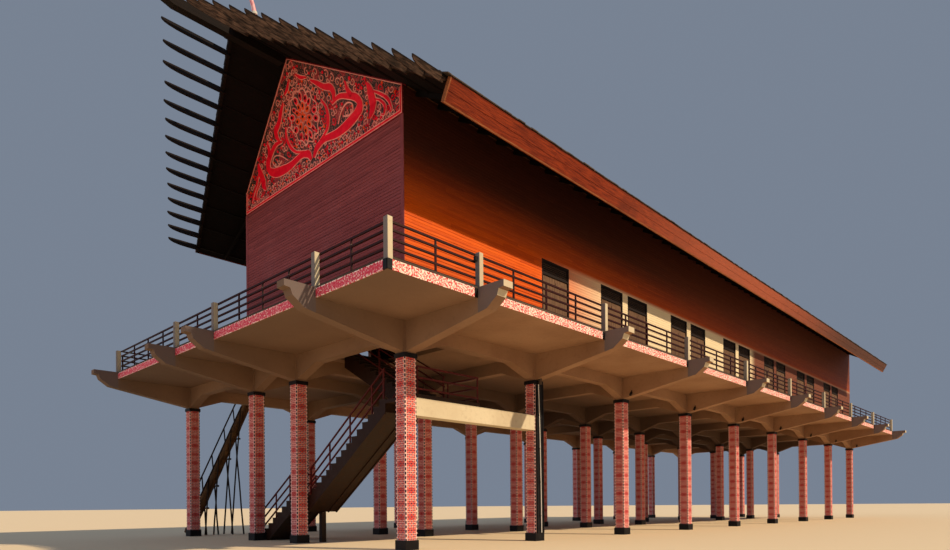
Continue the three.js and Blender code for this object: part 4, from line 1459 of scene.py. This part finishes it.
# Deck edge
deck = {
    "bandFoot": 6.69,
    "bandTop": 6.93,
    "bandFace": 0.022,
    "stripFace": 1.4,
    "bracket": 0.19,
    "strip": 0.11,
    "corner": 0.12,
    "rightCorner": 0.14,
    "endClear": 0.02,
    "logGap": (2.35, 3.75),
    "logClear": 0.3,
}


def deckBand():
    # Marbled paint on the deck's edge, with black strips before the brackets and at the corners
    bm = bmesh.new()
    left, right, front = house["deckLeft"], house["deckRight"], house["deckFront"]
    face, corner, end = deck["bandFace"], deck["corner"], house["end"] - deck["endClear"]
    gapStart, gapStop = deck["logGap"]

    def run(axis, start, stop, line, outward, slot):
        # One length of the band, where there is room for it
        if stop - start < 0.01:
            return
        near, far = sorted((line, line + outward * face * (deck["stripFace"] if slot else 1)))
        if axis == "y":
            addBox(bm, near, far, start, stop, deck["bandFoot"], deck["bandTop"], slot)
        else:
            addBox(bm, start, stop, near, far, deck["bandFoot"], deck["bandTop"], slot)

    def side(axis, stations, here, last, line, outward):
        # The lengths and strips along one edge, between the brackets
        for station in stations:
            edge = station - deck["bracket"]
            run(axis, here, edge - deck["strip"], line, outward, 0)
            run(axis, edge - deck["strip"], edge, line, outward, 1)
            here = station + deck["bracket"]
        run(axis, here, last, line, outward, 0)

    side("y", columnY, front + corner, end, right, 1)
    side("x", house["columnX"][1:], left + corner, right - deck["rightCorner"], front, -1)
    run("y", front - face, front + corner, right, 1, 1)
    run("x", right - deck["rightCorner"], right, front, -1, 1)
    run("x", left - face, left + corner, front, -1, 1)
    run("y", front, gapStart + deck["logClear"], left, -1, 0)
    run("y", gapStop - deck["logClear"], end, left, -1, 0)
    finishPiece("deck_band", bm, ["band", "black"])


parapet = {
    "inset": 0.095,
    "half": 0.08,
    "foot": 6.885,
    "top": 7.93,
    "besideGap": 0.075,
    "lampX": (-0.06, 0.02),
    "lampDepth": 0.07,
    "lampZ": (7.7, 7.82),
}


def parapetPosts():
    # Cream posts over the brackets and beside the log's gap, and a lamp on the side's second post
    bm = bmesh.new()
    half, inset, beside = parapet["half"], parapet["inset"], parapet["besideGap"]
    left, right, front = house["deckLeft"] + inset, house["deckRight"] - inset, house["deckFront"] + inset
    gapStart, gapStop = deck["logGap"]
    places = [(right, y) for y in [front, *columnY]]
    places += [(x, front) for x in [left, *house["columnX"][1:]]]
    places += [(left, y) for y in [0, gapStart - beside, gapStop + beside, *columnY[1:]]]
    for x, y in places:
        addPost(bm, x, y, half, parapet["foot"], parapet["top"])
    softenEdges(bm, 0.01)
    x0, x1 = [right + x for x in parapet["lampX"]]
    addBox(bm, x0, x1, -half - parapet["lampDepth"], -half, *parapet["lampZ"], 1)
    finishPiece("parapet_posts", bm, ["cream", "black"])


rail = {
    "inset": 0.1956,
    "half": 0.025,
    "thin": 0.021,
    "low": 7.72,
    "top": 7.9,
    "endClear": 0.03,
    # Half width, foot and top of the plates, the collars and, round, the sockets
    "plate": (0.06, 6.882, 6.9),
    "collar": (0.034, 7.737, 7.75),
    "socket": (0.038, 6.9, 6.97),
    "capIn": 0.02,
    "capWide": 0.08,
    "cap": (7.0, 7.08),
    "capGap": 0.2,
}
railLeft, railRight = house["deckLeft"] + rail["inset"], house["deckRight"] - rail["inset"]
railFront = house["deckFront"] + rail["inset"]


def thinPosts(stations):
    # Places of the thin posts between cream ones: three in a bay, one in a short stretch
    places = []
    for start, stop in zip(stations, stations[1:]):
        count = 3 if stop - start > 4 else 1
        places += [start + (stop - start) * (index + 1) / (count + 1) for index in range(count)]
    return places


def railFeet():
    # Plates and sockets under the thin posts at the right and the front, and collars near their tops
    bm = bmesh.new()
    places = [(railRight, y) for y in thinPosts([railFront, *columnY])]
    places += [(x, railFront) for x in thinPosts([railLeft, *house["columnX"][1:], railRight])]
    radius, low, high = rail["socket"]
    for x, y in places:
        addPost(bm, x, y, *rail["plate"])
        addRod(bm, (x, y, low), (x, y, high), radius, 10)
        addPost(bm, x, y, *rail["collar"])
    finishPiece("rail_feet", bm, ["railFoot"])


def topRails():
    # The highest rail, level with the tops of the cream posts, and a capping on the curb
    bm = bmesh.new()
    half, thin, low = rail["half"], rail["thin"], rail["low"]
    high, end = rail["top"] + half, house["end"] - rail["endClear"]
    under = high - 2 * half
    gapStart, gapStop = deck["logGap"]
    for x, start, stop, posts in (
        (railRight, railFront - half, end, thinPosts([railFront, *columnY])),
        (railLeft, railFront - half, gapStart, [*thinPosts([railFront, 0]), gapStart - half]),
        (railLeft, gapStop, end, [gapStop + half, *thinPosts([gapStop, *columnY[1:]])]),
    ):
        addBox(bm, x - half, x + half, start, stop, under, high)
        for y in posts:
            addPost(bm, x, y, thin, low, under)
    addBox(bm, railLeft + half, railRight - half, railFront - half, railFront + half, under, high)
    for x in thinPosts([railLeft, *house["columnX"][1:], railRight]):
        addPost(bm, x, railFront, thin, low, under)
    outer = parapet["inset"] + parapet["half"] - rail["capIn"]
    left, right, front = house["deckLeft"] + outer, house["deckRight"] - outer, house["deckFront"] + outer
    wide = rail["capWide"]
    for x0, x1, y0, y1 in (
        (right - wide, right, front, end),
        (left, left + wide, front, gapStart - rail["capGap"]),
        (left, left + wide, gapStop + rail["capGap"], end),
        (left + wide, right - wide, front, front + wide),
    ):
        addBox(bm, x0, x1, y0, y1, *rail["cap"], 1)
    finishPiece("top_rails", bm, ["rail", "curb"])


deckBand()
parapetPosts()
railFeet()
topRails()
print("deck edge done")

# Columns
def columnTrim():
    # Bevelled collars at the top and plinths at the foot of every column
    bm = bmesh.new()
    low, high = column["ring"]
    for y in columnY:
        for x in house["columnX"]:
            addPost(bm, x, y, column["ringOut"], low - column["ringOver"], high + column["ringOver"])
            addPost(bm, x, y, column["footOut"], 0.0, column["foot"] + column["footOver"])
    softenEdges(bm, 0.002)
    finishPiece("column_trim", bm, ["black"])


pipe = {
    "foot": 0.29,
    "top": 5.64,
    # Near and far from the column's face, then from and to across it: the casing, its edges, the clamps
    "casing": [(0, 0.05, -0.16, 0.2), (0.045, 0.07, -0.17, -0.13), (0.045, 0.07, 0.17, 0.21)],
    "clamp": (0.05, 0.1, -0.08, 0.04),
    "clampFeet": (0.9, 2.1, 3.3, 4.5, 5.5),
    "clampHigh": 0.03,
    # Path out of the face, across it and up, then steps, radius, sides and paint: the pipe and its bend
    "tubes": [
        ([(0.09, 0.02, 0.3), (0.09, 0.0, 2.2), (0.09, -0.06, 4.6), (0.09, -0.1, 5.62)], 6, 0.016, 10, 1),
        ([(0.1, -0.02, 5.62), (0.12, -0.02, 5.9), (0.12, -0.02, 6.05)], 4, 0.06, 12, 2),
    ],
}


def pipeColumn():
    # The second column of the side row carries a dark casing and a white pipe
    bm = bmesh.new()
    face, y = house["columnX"][3] + column["half"], columnY[1]
    parts = [(*part, pipe["foot"], pipe["top"]) for part in pipe["casing"]]
    parts += [(*pipe["clamp"], z, z + pipe["clampHigh"]) for z in pipe["clampFeet"]]
    for near, far, y0, y1, z0, z1 in parts:
        addBox(bm, face + near, face + far, y + y0, y + y1, z0, z1)
    for points, steps, radius, sides, slot in pipe["tubes"]:
        path = smoothPath([(face + out, y + across, z) for out, across, z in points], steps)
        addTube(bm, path, [radius] * len(path), sides, slot)
    finishPiece("column_pipe", bm, ["black", "white", "curb"])


spot = {
    "out": 0.62,
    "before": 0.2,
    "z": 5.98,
    "radius": 0.055,
    "back": (0.1, 0.09),
    "front": 0.02,
    "arm": 0.03,
    "armHigh": 0.12,
}


def spotlights():
    # Small lamps under the outer beam, from the third row on
    bm = bmesh.new()
    x, z, arm = house["columnX"][3] + spot["out"], spot["z"], spot["arm"]
    away, down = spot["back"]
    for row in columnY[2:]:
        y = row - spot["before"]
        addRod(bm, (x, y - away, z - down), (x, y, z + spot["front"]), spot["radius"])
        addBar(bm, (x, y, z), (x, y + arm, z + spot["armHigh"]), arm, arm)
    finishPiece("spotlights", bm, ["black"])


columnTrim()
pipeColumn()
spotlights()
print("column trim done")

# Stairs
stair = {
    # The flight up to the short landing, the one from there to the turn, and the one up to the deck. The
    # clip is the length at a flight's foot that the bars under it leave out
    "flights": [
        {"foot": -1.83, "top": 0.55, "level": 0.0, "rise": 1.5, "risers": 7, "y": (0.25, 1.48), "clip": 0.7},
        {"foot": 1.68, "top": 6.2, "level": 1.5, "rise": 3.12, "risers": 15, "y": (0.25, 1.48), "clip": 0.0},
        {"foot": 6.2, "top": 2.2, "level": 4.62, "rise": 2.26, "risers": 13, "y": (1.52, 2.95), "clip": 0.76},
    ],
    "tread": 0.028,
    "nosing": 0.03,
    "sunk": 0.002,
    "sideClear": 0.004,
    "barDrop": 0.608,
    "barStop": 0.995,
    "bar": 0.05,
    "barIn": 0.02,
    "barMiddle": 0.7,
}


def stairDetails():
    # Treads, three bars under each flight, and the plate on the short landing
    bm = bmesh.new()
    sunk, clear, inside = stair["sunk"], stair["sideClear"], stair["barIn"]
    drop = Vector((0, 0, stair["barDrop"]))
    for part in stair["flights"]:
        run, (y0, y1) = part["top"] - part["foot"], part["y"]
        going, step = run / part["risers"], part["rise"] / part["risers"]
        for index in range(part["risers"]):
            back = part["foot"] + going * (index + 1)
            front = part["foot"] + going * index - math.copysign(stair["nosing"], going)
            z = part["level"] + step * (index + 1)
            x0, x1 = sorted((front, back))
            addBox(bm, x0, x1, y0 + clear, y1 - clear, z - sunk, z + stair["tread"], 1)
        along = Vector((run, 0, part["rise"]))
        start = Vector((part["foot"], 0, part["level"] + step))
        low = start + along * (part["clip"] / abs(along.x)) - drop
        high = start + along * stair["barStop"] - drop
        for y in (y0 + inside, y0 + (y1 - y0) * stair["barMiddle"], y1 - inside):
            addBar(bm, (low.x, y, low.z), (high.x, y, high.z), stair["bar"], stair["bar"])
    first, second = stair["flights"][:2]
    y0, y1 = first["y"]
    x0, x1 = first["top"] + sunk, second["foot"] - sunk
    addBox(bm, x0, x1, y0 + clear, y1 - clear, first["rise"] - sunk, first["rise"] + stair["tread"], 1)
    finishPiece("stair_details", bm, ["stair", "tread"])


stairDetails()

logs = {
    "foot": Vector((-8.3, 0.03, 0.0)),
    "headX": -7.92,
    "slope": 2.29,
    "radius": 0.22,
    "top": 7.15,
    "endClear": 0.1,
    "notch": 0.36,
    "bite": 0.34,
    "biteEdge": 0.35,
    "rings": 120,
    "sides": 22,
}


def logAxis(z):
    # The log's middle at a height
    foot = logs["foot"]
    return Vector((foot.x + (logs["headX"] - foot.x) * z / house["deckTop"], foot.y + z / logs["slope"], z))


def notchedLog():
    # A log with steps bitten into its upper side
    bm = bmesh.new()
    low, high, rings = logs["endClear"], logs["top"] - logs["endClear"], logs["rings"]
    points = [logAxis(low + (high - low) * index / rings) for index in range(rings + 1)]
    addTube(bm, points, [logs["radius"]] * len(points), logs["sides"])
    foot, towards, edge = logAxis(0), Vector((0, -1, 0)), logs["biteEdge"]
    axis = (logAxis(1) - foot).normalized()
    upward = (towards - axis * axis.dot(towards)).normalized()
    for vert in bm.verts:
        t = (vert.co - foot).dot(axis)
        middle = foot + axis * t
        out = vert.co - middle
        facing = max(0, out.normalized().dot(upward))
        bite = (t / logs["notch"]) % 1
        depth = logs["bite"] * (1 - bite) * max(0, (facing - edge) / (1 - edge))
        rough = math.sin(t * 9 + out.x * 30) * 0.02 + math.sin(t * 3.1 + out.y * 21) * 0.03
        vert.co = middle + out * (1 - depth + rough)
        vert.co.z = max(vert.co.z, 0)
    for face in bm.faces:
        face.smooth = True
    finishPiece("notched_log", bm, ["log"], ["log_stair"])


trestle = {
    "heights": [1.9, 2.95, 4.25, 5.25],
    "reach": 0.45,
    "rise": 0.85,
    "drop": 1.8,
    "radius": 0.035,
    "apart": 0.03,
    "buried": 0.05,
    "taper": (1.1, 1.05, 1, 1, 0.95, 0.85),
    "waver": (0.008, 0.012),
    "sides": 9,
    "barOver": 0.1,
    "lashing": 0.06,
    "lashingSize": 1.35,
    "handrails": [(-1, 1.0, 6.45), (1, 1.0, 5.3)],
    "handrailIn": 0.02,
    "floor": 0.002,
}


def trestlePoles():
    # Poles crossed under the log, a bar with lashings at each crossing, and handrails over their tips
    bm = bmesh.new()
    chance = random.Random(9)
    reach, rise, drop, radius = [trestle[key] for key in ("reach", "rise", "drop", "radius")]
    sides, apart, lashing = trestle["sides"], trestle["apart"], trestle["lashing"]
    waverX, waverY = trestle["waver"]
    spread = reach / (drop + rise)
    for z in trestle["heights"]:
        x, y = logAxis(z).x, logAxis(z).y
        for side in (-1, 1):
            low = Vector((x - side * (z - drop) * spread, y - side * apart, -trestle["buried"]))
            high = Vector((x + side * reach, y - side * apart, z + rise))
            path = [low.lerp(high, index / 5) for index in range(6)]
            for point in path[1:-1]:
                point.x += chance.uniform(-waverX, waverX)
                point.y += chance.uniform(-waverY, waverY)
            addTube(bm, path, [radius * size for size in trestle["taper"]], sides)
        barZ = z - (logs["radius"] + radius) * math.hypot(1, logs["slope"])
        half = (barZ - z + drop) * spread
        over = half + trestle["barOver"]
        addRod(bm, (x - over, y, barZ), (x + over, y, barZ), radius, sides)
        for at in (x - half, x + half):
            size = radius * trestle["lashingSize"]
            addRod(bm, (at, y - lashing, barZ), (at, y + lashing, barZ), size, sides, 1)
    for side, start, stop in trestle["handrails"]:
        low, high = logAxis(start), logAxis(stop)
        out = Vector((side * (reach - trestle["handrailIn"]), 0, rise))
        path = [low.lerp(high, index / 8) + out for index in range(9)]
        for point in path[1:-1]:
            point.x += chance.uniform(-waverX, waverX)
        addTube(bm, path, [radius] * len(path), sides)
    cutAway(bm, (0, 0, trestle["floor"]), (0, 0, -1), cap=True)
    finishPiece("trestle_poles", bm, ["pole", "lashing"], ["log_stair_trestles"])


notchedLog()
trestlePoles()
print("stairs done")

# Rear wall
rear = {
    "lift": 0.02,
    "boardsBefore": 0.045,
    "wall": (0.2, 0.05),
    "footClear": 0.01,
    "boardClear": 0.02,
    "topClear": 0.01,
}


def rearWall():
    # Plain lapped boards on a wall whose top is cut to the two roof slopes
    bm = boardSheet(
        2 * halfWidth, house["ridgeUnder"] - house["deckTop"],
        dict(boards, random=random.Random(13), lift=rear["lift"]),
    )
    bmesh.ops.solidify(bm, geom=bm.faces, thickness=boards["thickness"])
    corner = (house["right"], house["end"] - rear["boardsBefore"], house["deckTop"] + rear["boardClear"])
    bmesh.ops.transform(bm, matrix=standing(corner, (-1, 0, 0)), verts=bm.verts)
    y0, y1 = [house["end"] - before for before in rear["wall"]]
    foot, top = house["deckTop"] + rear["footClear"], house["ridgeUnder"]
    addBox(bm, house["left"], house["right"], y0, y1, foot, top, 1)
    for side in (-1, 1):
        edge = (house["ridge"], 0, top - rear["topClear"])
        cutAway(bm, edge, (side * house["roofSlope"], 0, 1), cap=True)
    finishPiece("rear_boards", bm, ["rearSiding", "innerWall"], ["party_wall"])


trim = {"out": 0.024, "wide": 0.11, "cornerFront": -0.03, "footFront": -0.04, "footClear": 0.01}


def wallTrim():
    # Corner boards at the front and the skirting between them
    bm = bmesh.new()
    foot = house["deckTop"] + trim["footClear"]
    for x, side in ((house["left"], -1), (house["right"], 1)):
        x0, x1 = sorted((x + side * trim["out"], x - side * trim["wide"]))
        addBox(bm, x0, x1, trim["cornerFront"], 0.0, foot, house["panelFoot"])
    x0, x1 = house["left"] + trim["wide"], house["right"] - trim["wide"]
    addBox(bm, x0, x1, trim["footFront"], 0.0, foot, house["deckTop"] + house["skirting"])
    softenEdges(bm, 0.006)
    finishPiece("wall_trim", bm, ["trim"])


rearWall()
wallTrim()
print("walls closed")

# Ground, light and background
ground = {"half": 250, "roughness": 0.9, "paint": paint(238, 216, 180)}
floor = bpy.data.objects.new("floor", bpy.data.meshes.new("floor"))
bpy.context.scene.collection.objects.link(floor)
bm = bmesh.new()
bmesh.ops.create_grid(bm, x_segments=1, y_segments=1, size=ground["half"])
bm.to_mesh(floor.data)
bm.free()
floorFinish = Finish("floorFinish", ground["roughness"])
floorFinish.shader.inputs["Base Color"].default_value = ground["paint"]
floor.data.materials.append(floorFinish.material)

light = {
    "sun": {"towards": (0.80, 0.29, 0.60), "power": 3.8, "angle": 1.2, "colour": (1.0, 0.80, 0.55)},
    "fill": {"towards": (-0.3, -1.0, 0.3), "power": 0.7, "angle": 60, "colour": (0.8, 0.85, 1.0)},
    "sky": {"colour": (0.55, 0.66, 0.85, 1), "power": 0.34},
}
for name in ("sun", "fill"):
    lamp = bpy.data.objects.new(name, bpy.data.lights.new(name, "SUN"))
    bpy.context.scene.collection.objects.link(lamp)
    lamp.data.energy = light[name]["power"]
    lamp.data.angle = math.radians(light[name]["angle"])
    lamp.data.color = light[name]["colour"]
    lamp.rotation_mode = "QUATERNION"
    lamp.rotation_quaternion = Vector(light[name]["towards"]).to_track_quat("Z", "Y")
world = bpy.data.worlds.new("studio")
world.use_nodes = True
background = world.node_tree.nodes["Background"]
background.inputs["Color"].default_value = light["sky"]["colour"]
background.inputs["Strength"].default_value = light["sky"]["power"]
bpy.context.scene.world = world

# Finishes of the frame's own nodes, by the longest start of a name that fits
nodeFinishes = {
    "frame": "frame",
    "deck_slab": "soffit",
    "parapet": "curb",
    "railing": "rail",
    "front_wall": "innerWall",
    "gable_panel": "panelGround",
    "wall": "innerWall",
    "party_wall": "rearSiding",
    "doors": "door",
    "roof": "dark",
    "eave_board": "eave",
    "verge_planks": "spike",
    "ridge_cap": "verge",
    "ridge_spear": "spike",
    "ridge_horn": "horn",
    "landing_beam": "cream",
    "stair": "stair",
    "landing_rail": "stairRail",
    "stair_rail": "stairRail",
    "log_stair": "log",
    "log_stair_trestles": "pole",
}
for name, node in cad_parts.items():
    match = max((key for key in nodeFinishes if name.startswith(key)), key=len)
    node.data.materials.clear()
    node.data.materials.append(finishes[nodeFinishes[match]])
